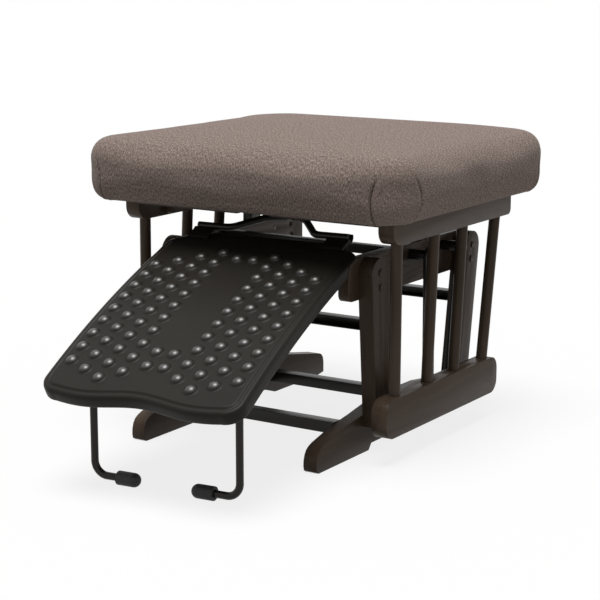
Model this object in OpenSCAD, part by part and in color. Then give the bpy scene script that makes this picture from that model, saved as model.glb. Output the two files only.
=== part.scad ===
// Glider ottoman with a pull-out nursing stool, all lengths in millimetres.
// X is to the right seen from the stool side, Y to the rear, Z up, floor at zero.

/* [Frame] */
// moves the build so that its box is centred front to rear
frame_shift = 69.8; // [30:0.1:90]
// gap left between solids that move against each other
running_gap = 0.3; // [0.2:0.05:0.6]
// radial room of a pin in its bore
bore_room = 0.06; // [0.02:0.01:0.1]

/* [Seat side frames] */
// outer face of a side frame from the middle
frame_half_width = 211.1; // [180:0.1:260]
// stock thickness of the four rails
rail_thick = 22.4; // [16:0.1:32]
// underside of the top rail
top_rail_low = 286; // [240:0.5:340]
// upper face of the top rail, under the cushion
top_rail_high = 318; // [260:0.5:380]
// front end of the top rail
top_rail_front = -109.5; // [-160:0.5:-60]
// rear end of the top rail
top_rail_rear = 222.2; // [160:0.1:280]
// underside of the bottom rail
low_rail_low = 37.2; // [20:0.1:60]
// upper face of the bottom rail
low_rail_high = 88.5; // [60:0.1:120]
// front end of the bottom rail
low_rail_front = -122.4; // [-180:0.1:-80]
// rear end of the bottom rail
low_rail_rear = 190; // [140:0.5:240]
// corner radius of the rails
rail_round = 18; // [6:0.5:24]
// radius of the top rail's rear lower corner
rail_rear_round = 8; // [3:0.5:16]
// spindle diameter
spindle_dia = 15.3; // [10:0.1:24]
// tenon diameter at both spindle ends
tenon_dia = 10; // [6:0.1:14]
// tenon length in the rail
tenon_long = 12; // [6:0.5:20]
// spindle places at the top rail, front to rear
spindle_tops = [-81.7, 17.4, 97.3, 194.5];
// spindle places at the bottom rail, front to rear
spindle_feet = [-83.4, 3.2, 78.7, 163.1];

/* [Seat deck] */
// plywood thickness
deck_thick = 9; // [6:0.5:18]
// cleat height under the deck
cleat_high = 20; // [12:0.5:24]
// cleat width
cleat_wide = 12.7; // [8:0.1:16]
// front end of the cleats
cleat_front = -50; // [-100:0.5:0]
// half width of the notch over the stool rail
notch_half = 26; // [18:0.5:40]
// rear end of that notch
notch_rear = 112; // [80:0.5:160]

/* [Cushion] */
// how far the cushion reaches out beyond the side frames
cushion_overhang = 40.5; // [10:0.5:60]
// half depth of the cushion
cushion_half_depth = 228.5; // [180:0.1:280]
// middle of the cushion front to rear
cushion_mid = 58.7; // [20:0.1:90]
// corner radius seen from above
cushion_corner = 50; // [20:0.5:90]
// height of the side wall at its upper edge
cushion_edge = 406; // [360:0.5:440]
// highest point of the crown
cushion_top = 422; // [370:0.5:460]
// sinking of a seam into the cloth
seam_sink = 1.8; // [0.5:0.1:3]
// half width of a sunk seam
seam_half = 4; // [2:0.5:6]
// distance of the front patch seam from the corner, along the front
patch_front = 39.6; // [25:0.1:60]
// distance of the side patch seam from the corner, along the side
patch_side = 57.8; // [52:0.1:80]

/* [Base feet and boards] */
// distance of the feet's and boards' outer faces from the side frames' outer faces
board_inset = 64.1; // [50:0.1:90]
// thickness of a foot
foot_thick = 19.8; // [12:0.1:28]
// front end of a foot
foot_front = -187; // [-240:0.5:-140]
// length of a foot
foot_long = 457; // [380:0.5:540]
// height of a foot at its crest
foot_high = 62; // [45:0.5:80]
// thickness of an inner side board
board_thick = 15; // [10:0.5:22]
// underside of the boards
board_low = 208; // [180:0.5:230]
// top of the boards
board_high = 262; // [240:0.5:290]
// front end of the boards
board_front = -112; // [-150:0.5:-90]
// rear end of the boards
board_rear = 216; // [180:0.5:250]
// radius of the front lower corner of a board
board_front_round = 10; // [4:0.5:20]
// radius of the front upper corner of a board, which the stool clears
board_nose_round = 18; // [14:0.5:24]
// radius of the rear upper corner of a board
board_rear_round = 17; // [6:0.5:24]
// depth of the grooves in a board
board_groove_deep = 2; // [1:0.1:4]
// place of the keyhole slot in a board
keyhole_y = 183; // [150:0.5:200]

/* [Base posts] */
// thickness of a post
post_thick = 21; // [14:0.5:28]
// width of the front posts
front_post_wide = 45; // [30:0.5:56]
// width of the rear posts
rear_post_wide = 41; // [30:0.5:56]
// lower end of the posts
post_low = 38; // [20:0.5:50]
// top of the posts
post_high = 262; // [230:0.5:290]
// middle of the front post at its lower end
front_post_foot = -50.5; // [-80:0.5:-20]
// middle of the rear post at its lower end
rear_post_foot = 160; // [130:0.5:190]
// lean of the front post in degrees
front_post_lean = 4.3; // [0:0.1:12]
// lean of the rear post in degrees
rear_post_lean = 8.6; // [0:0.1:14]
// screw head diameter on the posts
screw_head_dia = 9; // [5:0.1:14]
// screw head height
screw_head_high = 1.6; // [0.8:0.1:3]
// screw shank diameter
screw_dia = 4; // [3:0.1:6]

/* [Base cross bars] */
// wall of the folded cross bars
bar_wall = 2; // [1:0.1:4]
// depth of the folded cross bars
bar_deep = 18; // [10:0.5:28]
// height of the folded cross bars
bar_high = 14; // [8:0.5:22]
// underside of the front middle bar
front_mid_bar_low = 164; // [140:0.5:190]
// middle of the front middle bar
front_mid_bar_y = -60.5; // [-80:0.5:-40]
// underside of the rear middle bar
rear_mid_bar_low = 162.5; // [140:0.5:190]
// middle of the rear middle bar
rear_mid_bar_y = 179; // [160:0.5:200]
// height of the two floor bars
floor_bar_high = 15.4; // [8:0.1:24]
// depth of the two floor bars
floor_bar_deep = 18; // [8:0.5:28]
// underside of the front floor bar
front_floor_bar_low = 33; // [20:0.5:45]
// middle of the front floor bar
front_floor_bar_y = -106; // [-140:0.5:-80]
// underside of the rear floor bar
rear_floor_bar_low = 22; // [10:0.5:40]
// middle of the rear floor bar
rear_floor_bar_y = 120; // [90:0.5:150]
// height of the tie bar between the boards
tie_bar_high = 12; // [6:0.5:20]
// depth of that tie bar
tie_bar_deep = 16; // [8:0.5:30]
// middle of that tie bar
tie_bar_y = 14; // [-10:0.5:40]

/* [Stool bridge and rail] */
// middle of the bridge over the boards
bridge_y = 90; // [70:0.5:130]
// depth of the bridge and its blocks
bridge_deep = 20; // [12:0.5:30]
// height of the blocks on the boards
block_high = 20; // [10:0.5:26]
// underside of the stool rail
slide_rail_low = 300; // [280:0.5:320]
// height of the stool rail
slide_rail_high = 8; // [6:0.5:12]
// half width of the stool rail
slide_rail_half = 15; // [10:0.5:22]
// wall of the stool rail
slide_rail_wall = 2; // [1:0.1:3]
// front end of the stool rail
slide_rail_front = -44; // [-70:0.5:-20]
// half width of the slot in the stool rail
slot_half = 6; // [4:0.5:9]

/* [Glide linkage] */
// distance of the swing arms from the boards' outer faces
arm_stand_off = 26; // [23:0.5:30]
// thickness of a swing arm
arm_thick = 5; // [3:0.5:8]
// width of a swing arm
arm_wide = 25; // [16:0.5:32]
// upper pivot places [front to rear, height], front arm
front_top_pivot = [50, 248];
// lower pivot places, front arm
front_low_pivot = [52, 62];
// upper pivot places, rear arm
rear_top_pivot = [140, 248];
// lower pivot places, rear arm
rear_low_pivot = [110, 62];
// pivot bolt diameter
pivot_dia = 8; // [6:0.1:12]
// bolt head diameter
pivot_head_dia = 15; // [10:0.5:20]
// bolt head height
pivot_head_high = 4; // [2:0.5:7]
// spacer diameter
spacer_dia = 14; // [10:0.5:20]
// extra radial room in the lower bores of the rear arms, for the linkage
open_pivot_room = 0.7; // [0.5:0.05:1.5]
// depth of the bolt in the bottom rail
rail_bolt_deep = 15; // [10:0.5:20]

/* [Stool hanger] */
// place of the stool pivot front to rear
pivot_y = 20; // [-10:0.5:60]
// turn of the stool to the left in degrees
stool_turn = 4.8; // [0:0.1:10]
// diameter of the bent wires
wire_dia = 9.5; // [6:0.1:14]
// distance of the hinge rod in front of the pivot
rod_ahead = 97; // [70:0.5:130]
// height of the hinge rod
rod_high = 284.3; // [260:0.1:310]
// half width over the hinge rod ends
rod_half = 113; // [90:0.5:140]
// half width where the rod turns inward
rod_bend_half = 63; // [40:0.5:90]
// half width of the two wire ends at the hub
hub_wire_half = 11.5; // [8:0.1:20]
// distance in front of the pivot where the arms become level
level_ahead = 60; // [40:0.5:80]
// half width of the arms there
level_half = 32; // [20:0.5:50]
// distance in front of the pivot where the arms meet the hub neck
neck_ahead = 35; // [20:0.5:50]
// bend radius of the wires
wire_bend = 17; // [12:0.5:30]
// how far a straight run of wire reaches into a bend
wire_tuck = 1.5; // [0.5:0.1:2]
// hub diameter
hub_dia = 36; // [24:0.5:50]
// hub height
hub_high = 10.3; // [6:0.1:14]
// underside of the hub
hub_low = 289; // [270:0.5:310]
// pivot pin diameter
hub_pin_dia = 9; // [6:0.1:14]
// height of the pin nut
pin_nut_high = 3.5; // [3:0.5:8]
// diameter of the pin nut
pin_nut_dia = 16; // [12:0.5:24]
// length of the slider in the rail
slider_long = 32; // [20:0.5:50]

/* [Stool panel] */
// radius of the long curve of the panel
panel_curve = 1432; // [800:1:3000]
// slope at the first dome row in degrees
first_slope = 20.2; // [10:0.1:30]
// distance of the first dome row in front of the pivot
first_ahead = 200; // [170:0.5:230]
// height of the panel face at the first dome row
first_high = 246; // [220:0.5:270]
// half width of the raised field
field_half = 131; // [100:0.5:150]
// width of the border round the field
border_wide = 9; // [4:0.5:16]
// step from the field down to the border
border_step = 2.2; // [1:0.1:4]
// wall of the panel
panel_wall = 3.2; // [2:0.1:6]
// depth of the skirt under the field
skirt_deep = 19; // [12:0.5:28]
// front edge of the field in the middle, behind row one along the curve
front_mid_run = 250; // [230:0.5:270]
// how far the two lobes reach beyond the middle of the front edge
lobe_run = 9; // [0:0.5:16]
// drop of the front edge from the lobes to the corners
lobe_drop = 7; // [0:0.5:14]
// half distance of the two lobes
lobe_half = 78; // [60:0.5:100]
// rear edge of the field at the sides, before row one
rear_side_run = 79; // [60:0.5:90]
// bulge of the rear edge in the middle
rear_bulge = 11; // [0:0.5:20]
// front corner radius of the field
front_corner = 13; // [6:0.5:24]
// rear corner radius of the field
rear_corner = 20; // [8:0.5:30]
// where the side skirts begin, before row one
skirt_start = 50; // [40:0.5:70]
// where the heel that carries the ears begins, before row one
heel_start = 54; // [53.5:0.5:70]
// rear edge of the heel between the ears, before row one
heel_run = 104; // [96:0.5:108]
// dome row pitch along the panel
row_pitch = 26.46; // [20:0.01:32]
// dome diameter
dome_dia = 16; // [8:0.5:22]
// dome height
dome_high = 4.6; // [2:0.1:8]
// rib height under the panel
rib_high = 9; // [4:0.5:14]
// rib thickness
rib_thick = 2.4; // [1:0.1:4]
// half distance of the inner faces of the two ears
ear_inner = 84; // [70:0.5:100]
// width of an ear
ear_wide = 32; // [16:0.5:40]
// boss radius of an ear
ear_radius = 7.4; // [7:0.1:12]
// length of an ear along the panel
ear_long = 28; // [20:0.5:60]

/* [Stool legs] */
// half distance of the two legs
leg_half = 104; // [80:0.5:125]
// distance of the cross wire behind the panel's front edge, along the curve
leg_back = 66.15; // [40:0.05:90]
// depth of the cross wire under the panel's face
leg_below = 14.63; // [12:0.01:24]
// bend radius of the legs
leg_bend = 18; // [12:0.5:30]
// half distance of the inner ends of the rubber tips
tip_inner = 37.5; // [20:0.5:60]
// length of a rubber tip
tip_long = 32; // [20:0.5:50]
// diameter of a rubber tip
tip_dia = 18; // [12:0.5:26]
// width of a leg clip
clip_wide = 16; // [8:0.5:30]
// distance of an outer clip's middle from the outer rib's middle
clip_rib_gap = 19.22; // [12:0.01:24]

/* [Show] */
// the node that is drawn

/* [Hidden] */
$fn = 48;
tiny = frame_half_width / 4000;
inner_half_width = frame_half_width - board_inset;
cushion_half_width = frame_half_width + cushion_overhang;
arm_inner = inner_half_width + arm_stand_off;
rail_inner = frame_half_width - rail_thick;
spindle_x = frame_half_width - rail_thick / 2;
deck_low = top_rail_high - deck_thick;
post_outer = inner_half_width + post_thick;
arm_outer = arm_inner + arm_thick;
wire_r = wire_dia / 2;
hub_mid = hub_low + hub_high / 2;
bridge_low = board_high + block_high;
rail_rear = bridge_y + bridge_deep / 2;
pivot_r = pivot_dia / 2;
tip_r = tip_dia / 2;
// places of the lengthwise ribs as shares of the field's half width
rib_shares = [-0.62, -0.22, 0.22, 0.62];
clip_half = rib_shares[3] * field_half - clip_rib_gap;

// the foot outline as shares of its length and height, nose first
foot_top_shares = [[0, 0.13], [0.001, 0.25], [0.006, 0.37], [0.014, 0.455], [0.026, 0.515], [0.044, 0.565],
  [0.077, 0.62], [0.109, 0.677], [0.179, 0.774], [0.236, 0.829], [0.326, 0.94], [0.41, 0.985], [0.497, 1],
  [0.606, 0.992], [0.694, 0.92], [0.794, 0.79], [0.891, 0.655], [0.972, 0.55], [0.986, 0.51], [0.996, 0.43],
  [1, 0.3]];
foot_low_shares = [[1, 0.045], [0.958, 0], [0.7, 0], [0.643, 0.137], [0.3, 0.137], [0.285, 0], [0.012, 0],
  [0.003, 0.04]];

function ring_arc(c, r, a, b, n) = [for (i = [0:n]) [c[0] + r * cos(a + (b - a) * i / n),
  c[1] + r * sin(a + (b - a) * i / n)]];
function unit(v) = v / norm(v);

module at_frame() { translate([0, frame_shift, 0]) children(); }
module sided(side) { if (side > 0) children(); else mirror([1, 0, 0]) children(); }
// a flat shape drawn front to rear and up, given a thickness along X
module slab(x, thick) { translate([x, 0, 0]) rotate([90, 0, 90]) linear_extrude(thick) children(); }
module rod_x(x, long, place, r) { translate([x, place[0], place[1]]) rotate([0, 90, 0])
  cylinder(h = long, r = r); }

// one bend of a wire: a turned ring piece between two straight runs
module elbow(a, b, c, bend, r) {
  d1 = unit(b - a);
  d2 = unit(c - b);
  turn = acos(d1 * d2);
  n = unit(cross(d1, d2));
  x = cross(d1, n);
  run = bend * tan(turn / 2);
  start = b - d1 * run;
  level = abs(x[2]) < 0.9999;
  translate(start - x * bend)
    rotate([level ? atan2(d1[2], n[2]) : atan2(-d1[0] * x[2], d1[1]), level ? asin(-x[2]) : -90 * x[2],
      level ? atan2(x[1], x[0]) : 0])
      rotate_extrude(angle = turn) translate([bend, 0]) circle(r);
}
function bend_run(a, b, c, bend) = bend * tan(acos(unit(b - a) * unit(c - b)) / 2);
module straight(a, b, r) {
  v = b - a;
  translate(a) rotate([0, acos(v[2] / norm(v)), atan2(v[1], v[0])]) cylinder(h = norm(v), r = r);
}
// a round wire through the points, with bends of one radius at every inner point
module bent_wire(points, bend, r) {
  last = len(points) - 1;
  for (i = [0:last - 1]) {
    v = unit(points[i + 1] - points[i]);
    from = i == 0 ? points[0]
      : points[i] + v * (bend_run(points[i - 1], points[i], points[i + 1], bend) - wire_tuck);
    to = i == last - 1 ? points[last]
      : points[i + 1] - v * (bend_run(points[i], points[i + 1], points[i + 2], bend) - wire_tuck);
    straight(from, to, r);
  }
  // bends are a hair thicker than the runs, which end inside them
  for (i = [1:last - 1]) elbow(points[i - 1], points[i], points[i + 1], bend, r * 1.015);
}

// base: two feet, two boards, four posts
module foot(side) {
  pts = concat([for (p = foot_top_shares) [foot_front + p[0] * foot_long, p[1] * foot_high]],
    [for (p = foot_low_shares) [foot_front + p[0] * foot_long, p[1] * foot_high]]);
  at_frame() color("saddlebrown") difference() {
    sided(side) slab(inner_half_width - foot_thick, foot_thick) polygon(pts);
    post_screw_cuts(side);
  }
}
module left_foot() foot(-1);
module right_foot() foot(1);

module board(side) {
  f = board_front_round;
  q = board_rear_round;
  pts = concat(ring_arc([board_front + f, board_low + f], f, 180, 270, 6),
    ring_arc([board_rear - f, board_low + f], f, 270, 360, 6),
    ring_arc([board_rear - q, board_high - q], q, 0, 90, 8),
    ring_arc([board_front + board_nose_round, board_high - board_nose_round], board_nose_round, 90, 180,
      8));
  slot_r = spindle_dia / 2;
  at_frame() color("saddlebrown") sided(side) difference() {
    slab(inner_half_width - board_thick, board_thick) polygon(pts);
    for (p = [front_top_pivot, rear_top_pivot]) rod_x(0, post_outer, p, pivot_r);
    // the keyhole: a round mouth with a dot above, not through
    rod_x(inner_half_width - board_thick - tiny, board_groove_deep, [keyhole_y, board_low + slot_r * 2.6],
      slot_r);
    translate([inner_half_width - board_thick - tiny, keyhole_y - slot_r, board_low + slot_r])
      cube([board_groove_deep, slot_r * 2, slot_r * 1.6]);
    rod_x(inner_half_width - board_thick - tiny, board_groove_deep, [keyhole_y, board_high - slot_r * 1.9],
      slot_r / 2.4);
    board_screw_cuts();
  }
}
module left_board() board(-1);
module right_board() board(1);

// posts lean in the side plane, with arched tops
module post_space(foot_y, lean) { translate([0, foot_y, post_low]) rotate([lean, 0, 0]) children(); }
module post_shape(foot_y, lean, wide) {
  long = (post_high - post_low - wide / 2) / cos(lean);
  post_space(foot_y, lean) {
    slab(inner_half_width, post_thick) translate([-wide / 2, 0]) square([wide, long]);
    rod_x(inner_half_width, post_thick, [0, long], wide / 2);
  }
}
// two screws into the board and one into the foot for every post
function post_screw_places() = [for (f = [[front_post_foot, front_post_lean],
  [rear_post_foot, -rear_post_lean]])
  for (z = [post_low + screw_head_dia, board_low + board_thick, board_high - board_thick * 1.3])
    [f[0] - tan(f[1]) * (z - post_low), z]];
module post_screw_cuts(side) {
  sided(side) for (p = post_screw_places()) rod_x(inner_half_width - foot_thick * 0.7, post_thick * 2, p,
    screw_dia / 2);
}
module board_screw_cuts() {
  for (p = post_screw_places()) rod_x(inner_half_width - foot_thick * 0.7, post_thick * 2, p,
    screw_dia / 2);
}
module post(side, foot_y, lean, wide) {
  at_frame() color("saddlebrown") difference() {
    sided(side) post_shape(foot_y, lean, wide);
    post_screw_cuts(side);
  }
}
module left_front_post() post(-1, front_post_foot, front_post_lean, front_post_wide);
module right_front_post() post(1, front_post_foot, front_post_lean, front_post_wide);
module left_rear_post() post(-1, rear_post_foot, -rear_post_lean, rear_post_wide);
module right_rear_post() post(1, rear_post_foot, -rear_post_lean, rear_post_wide);
module post_screws() {
  at_frame() color("dimgray") for (side = [-1, 1]) sided(side) for (p = post_screw_places()) {
    rod_x(post_outer, screw_head_high, p, screw_head_dia / 2);
    rod_x(inner_half_width - foot_thick * 0.6, post_outer - inner_half_width + foot_thick * 0.6, p,
      screw_dia / 2);
  }
}

// base: cross bars
module folded_bar(y, low, half) {
  at_frame() color("black") difference() {
    translate([-half, y - bar_deep / 2, low]) cube([half * 2, bar_deep, bar_high]);
    translate([-half - tiny, y - bar_deep / 2 - tiny, low + bar_wall])
      cube([half * 2 + tiny * 2, bar_deep - bar_wall, bar_high - bar_wall * 2]);
  }
}
module plain_bar(y, low, half, deep, high) {
  at_frame() color("black") translate([-half, y - deep / 2, low]) cube([half * 2, deep, high]);
}
module front_middle_bar() folded_bar(front_mid_bar_y, front_mid_bar_low, inner_half_width);
module rear_middle_bar() folded_bar(rear_mid_bar_y, rear_mid_bar_low, inner_half_width);
module front_floor_bar() plain_bar(front_floor_bar_y, front_floor_bar_low, inner_half_width - foot_thick,
  floor_bar_deep, floor_bar_high);
module rear_floor_bar() plain_bar(rear_floor_bar_y, rear_floor_bar_low, inner_half_width - foot_thick,
  floor_bar_deep, floor_bar_high);
module tie_bar() plain_bar(tie_bar_y, board_high - tie_bar_high, inner_half_width - board_thick,
  tie_bar_deep,
  tie_bar_high);

// base: blocks on the boards, bridge and stool rail
module block(side) {
  at_frame() color("black") sided(side)
    translate([inner_half_width - board_thick, bridge_y - bridge_deep / 2, board_high])
      cube([board_thick, bridge_deep, block_high]);
}
module left_block() block(-1);
module right_block() block(1);
module bridge() plain_bar(bridge_y, bridge_low, inner_half_width, bridge_deep, slide_rail_low - bridge_low);
module stool_rail() {
  long = rail_rear - slide_rail_front;
  at_frame() color("black") difference() {
    translate([-slide_rail_half, slide_rail_front, slide_rail_low])
      cube([slide_rail_half * 2, long, slide_rail_high]);
    translate([-slide_rail_half + slide_rail_wall, slide_rail_front + slide_rail_wall,
      slide_rail_low + slide_rail_wall])
      cube([(slide_rail_half - slide_rail_wall) * 2, long - slide_rail_wall * 2,
        slide_rail_high - slide_rail_wall * 2]);
    translate([-slot_half, slide_rail_front + slide_rail_wall, slide_rail_low - tiny])
      cube([slot_half * 2, bridge_y - bridge_deep - slide_rail_front, slide_rail_wall + tiny * 2]);
  }
}

// glide linkage
module arm(side, top, low, low_room) {
  v = [low[0] - top[0], low[1] - top[1]];
  long = norm(v);
  at_frame() color("dimgray") sided(side) difference() {
    translate([0, top[0], top[1]]) rotate([atan2(v[1], v[0]), 0, 0]) {
      slab(arm_inner, arm_thick) translate([0, -arm_wide / 2]) square([long, arm_wide]);
      for (y = [0, long]) rod_x(arm_inner, arm_thick, [y, 0], arm_wide / 2);
    }
    rod_x(arm_inner - tiny, arm_thick + tiny * 2, top, pivot_r + bore_room);
    rod_x(arm_inner - tiny, arm_thick + tiny * 2, low, pivot_r + low_room);
  }
}
module left_front_arm() arm(-1, front_top_pivot, front_low_pivot, bore_room);
module right_front_arm() arm(1, front_top_pivot, front_low_pivot, bore_room);
module left_rear_arm() arm(-1, rear_top_pivot, rear_low_pivot, open_pivot_room);
module right_rear_arm() arm(1, rear_top_pivot, rear_low_pivot, open_pivot_room);
module board_bolts() {
  inner = inner_half_width - board_thick;
  at_frame() color("silver") for (side = [-1, 1]) sided(side) for (p = [front_top_pivot, rear_top_pivot]) {
    rod_x(inner, arm_outer + running_gap - inner, p, pivot_r);
    rod_x(arm_outer + running_gap, pivot_head_high, p, pivot_head_dia / 2);
  }
}
module board_spacers() {
  at_frame() color("silver") for (side = [-1, 1]) sided(side) for (p = [front_top_pivot, rear_top_pivot])
    difference() {
    rod_x(inner_half_width, arm_inner - running_gap - inner_half_width, p, spacer_dia / 2);
    rod_x(inner_half_width - tiny, arm_inner - inner_half_width, p, pivot_r);
  }
}
module rail_bolts() {
  at_frame() color("silver") for (side = [-1, 1]) sided(side) for (p = [front_low_pivot, rear_low_pivot]) {
    rod_x(arm_inner - running_gap, rail_inner + rail_bolt_deep - arm_inner + running_gap, p, pivot_r);
    rod_x(arm_inner - running_gap - pivot_head_high, pivot_head_high, p, pivot_head_dia / 2);
  }
}
module rail_spacers() {
  at_frame() color("silver") for (side = [-1, 1]) sided(side) for (p = [front_low_pivot, rear_low_pivot])
    difference() {
    rod_x(arm_outer + running_gap, rail_inner - arm_outer - running_gap, p, spacer_dia / 2);
    rod_x(arm_outer, rail_inner - arm_outer + tiny, p, pivot_r);
  }
}

// seat: rails, spindles, deck
module spindle_space(i) {
  foot = [spindle_x, spindle_feet[i], low_rail_high];
  top = [spindle_x, spindle_tops[i], top_rail_low];
  v = top - foot;
  translate(foot) rotate([-atan2(v[1], v[2]), 0, 0]) children();
}
function spindle_run(i) = norm([spindle_tops[i] - spindle_feet[i], top_rail_low - low_rail_high]);
module tenon(i) {
  spindle_space(i) translate([0, 0, -tenon_long])
    cylinder(h = spindle_run(i) + tenon_long * 2, r = tenon_dia / 2);
}
module top_rail(side) {
  r = rail_round;
  q = rail_rear_round;
  pts = concat(ring_arc([top_rail_front + r, top_rail_low + r], r, 180, 270, 8),
    ring_arc([top_rail_rear - q, top_rail_low + q], q, 270, 360, 6),
    [[top_rail_rear, top_rail_high], [top_rail_front, top_rail_high]]);
  at_frame() color("saddlebrown") sided(side) difference() {
    slab(rail_inner, rail_thick) polygon(pts);
    for (i = [0:3]) tenon(i);
  }
}
module left_top_rail() top_rail(-1);
module right_top_rail() top_rail(1);
module bottom_rail(side) {
  r = rail_round;
  pts = concat(ring_arc([low_rail_front + r, low_rail_low + r], r, 180, 270, 8),
    ring_arc([low_rail_rear - r, low_rail_low + r], r, 270, 360, 8),
    ring_arc([low_rail_rear - r, low_rail_high - r], r, 0, 90, 8),
    ring_arc([low_rail_front + r, low_rail_high - r], r, 90, 180, 8));
  at_frame() color("saddlebrown") sided(side) difference() {
    slab(rail_inner, rail_thick) polygon(pts);
    for (i = [0:3]) tenon(i);
    for (p = [front_low_pivot, rear_low_pivot]) rod_x(rail_inner - tiny, rail_bolt_deep + tiny, p, pivot_r);
  }
}
module left_bottom_rail() bottom_rail(-1);
module right_bottom_rail() bottom_rail(1);
module spindle(side, i) {
  at_frame() color("saddlebrown") sided(side) union() {
    intersection() {
      spindle_space(i) translate([0, 0, -tenon_long])
        cylinder(h = spindle_run(i) + tenon_long * 2, r = spindle_dia / 2);
      translate([rail_inner, low_rail_front, low_rail_high])
        cube([rail_thick, low_rail_rear - low_rail_front + rail_thick, top_rail_low - low_rail_high]);
    }
    tenon(i);
  }
}
module left_spindle_1() spindle(-1, 0);
module left_spindle_2() spindle(-1, 1);
module left_spindle_3() spindle(-1, 2);
module left_spindle_4() spindle(-1, 3);
module right_spindle_1() spindle(1, 0);
module right_spindle_2() spindle(1, 1);
module right_spindle_3() spindle(1, 2);
module right_spindle_4() spindle(1, 3);
module cleat(side) {
  at_frame() color("saddlebrown") sided(side) translate([rail_inner - cleat_wide, cleat_front,
    deck_low - cleat_high])
    cube([cleat_wide, top_rail_rear - cleat_front, cleat_high]);
}
module left_cleat() cleat(-1);
module right_cleat() cleat(1);
module seat_deck() {
  at_frame() color("tan") difference() {
    translate([-rail_inner, top_rail_front, deck_low])
      cube([rail_inner * 2, top_rail_rear - top_rail_front, deck_thick]);
    translate([-notch_half, top_rail_front - tiny, deck_low - tiny])
      cube([notch_half * 2, notch_rear - top_rail_front, deck_thick + tiny * 2]);
  }
}

// cushion: rings of a rounded outline, drawn in at the seams and crowned on top
cr = cushion_corner;
seam_turn = asin((cr - patch_front) / cr);
seam_step = atan(seam_half / cr);
// one quarter of the outline, from the middle of the front to the middle of the right side:
// [x, y, outward x, outward y, seam share, patch share]
cushion_quarter = concat(
  [for (s = [0, 0.35, 0.7, 0.93]) [s * (cushion_half_width - cr), -cushion_half_depth, 0, -1, 0, 0]],
  [for (a = [0, seam_turn - seam_step, seam_turn, seam_turn + seam_step, 30, 45, 60, 75, 90])
    [cushion_half_width - cr + cr * sin(a), -cushion_half_depth + cr - cr * cos(a), sin(a), -cos(a),
      a == seam_turn ? 1 : 0, a > seam_turn ? 1 : 0]],
  [for (d = [-seam_half, 0, seam_half]) [cushion_half_width, -cushion_half_depth + patch_side + d, 1, 0,
      d == 0 ? 1 : 0, d < 0 ? 1 : 0]],
  [for (s = [0.62, 0.31]) [cushion_half_width, -s * (cushion_half_depth - cr), 1, 0, 0, 0]],
  [[cushion_half_width, 0, 1, 0, 0, 0]]);
nq = len(cushion_quarter);
function flip_x(p) = [-p[0], p[1], -p[2], p[3], p[4], p[5]];
function flip_y(p) = [p[0], -p[1], p[2], -p[3], p[4], p[5]];
cushion_outline = concat(cushion_quarter,
  [for (i = [nq - 2:-1:0]) flip_y(cushion_quarter[i])],
  [for (i = [1:nq - 1]) flip_y(flip_x(cushion_quarter[i]))],
  [for (i = [nq - 2:-1:1]) flip_x(cushion_quarter[i])]);
// rings: [height share of the wall, inset share of the corner radius, seam share, patch top share]
wall_rings = [[0, 0.2, 1, 0], [0.035, 0.085, 1, 0], [0.12, 0.02, 1, 0], [0.32, 0, 1, 0], [0.55, 0, 1, 0],
  [0.72, 0.012, 1, 0.1], [0.8, 0.03, 0.6, 1], [0.87, 0.06, 0, 0.1], [0.95, 0.13, 0, 0], [1, 0.24, 0, 0]];
crown_shares = [0.93, 0.8, 0.6, 0.36, 0.14];
nu = len(cushion_outline);
function wall_point(p, w) = let(in = w[1] * cr + seam_sink * (p[4] * w[2] + p[5] * w[3] * (1 - p[4])))
  [p[0] - p[2] * in, p[1] - p[3] * in, top_rail_high + w[0] * (cushion_edge - top_rail_high)];
function crown_point(p, s) = let(q = wall_point(p, wall_rings[len(wall_rings) - 1]))
  [q[0] * s, q[1] * s, cushion_edge + (cushion_top - cushion_edge) * (1 - s * s)];
cushion_points = concat([for (w = wall_rings) for (p = cushion_outline) wall_point(p, w)],
  [for (s = crown_shares) for (p = cushion_outline) crown_point(p, s)],
  [[0, 0, cushion_top], [0, 0, top_rail_high]]);
nr = len(wall_rings) + len(crown_shares);
cushion_faces = concat(
  [for (r = [0:nr - 2]) for (i = [0:nu - 1]) [r * nu + i, r * nu + (i + 1) % nu,
    (r + 1) * nu + (i + 1) % nu]],
  [for (r = [0:nr - 2]) for (i = [0:nu - 1]) [r * nu + i, (r + 1) * nu + (i + 1) % nu, (r + 1) * nu + i]],
  [for (i = [0:nu - 1]) [(nr - 1) * nu + i, (nr - 1) * nu + (i + 1) % nu, nr * nu]],
  [for (i = [0:nu - 1]) [(i + 1) % nu, i, nr * nu + 1]]);
module cushion() {
  at_frame() color("rosybrown") translate([0, cushion_mid, 0])
    polyhedron(points = cushion_points, faces = [for (f = cushion_faces) [f[2], f[1], f[0]]]);
}

// stool: everything turns with the pivot
module stool_space() { at_frame() translate([0, pivot_y, 0]) rotate([0, 0, stool_turn]) children(); }
module stool_carriage() {
  head_low = slide_rail_low + slide_rail_wall + running_gap / 2;
  head_high = slide_rail_high - slide_rail_wall * 2 - running_gap;
  at_frame() color("silver") translate([0, pivot_y, 0]) {
    translate([-slide_rail_half + slide_rail_wall + running_gap, -slider_long / 2, head_low])
      cube([(slide_rail_half - slide_rail_wall - running_gap) * 2, slider_long, head_high]);
    translate([-slot_half + running_gap, -slider_long / 2, slide_rail_low - running_gap])
      cube([(slot_half - running_gap) * 2, slider_long, head_low - slide_rail_low + running_gap + tiny]);
    translate([0, 0, hub_low - running_gap - pin_nut_high])
      cylinder(h = slide_rail_low - hub_low + pin_nut_high, r = hub_pin_dia / 2);
  }
}
module pin_nut() {
  at_frame() color("silver") translate([0, pivot_y, hub_low - running_gap - pin_nut_high]) difference() {
    cylinder(h = pin_nut_high, r = pin_nut_dia / 2, $fn = 6);
    translate([0, 0, -tiny]) cylinder(h = pin_nut_high + tiny * 2, r = hub_pin_dia / 2);
  }
}
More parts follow.
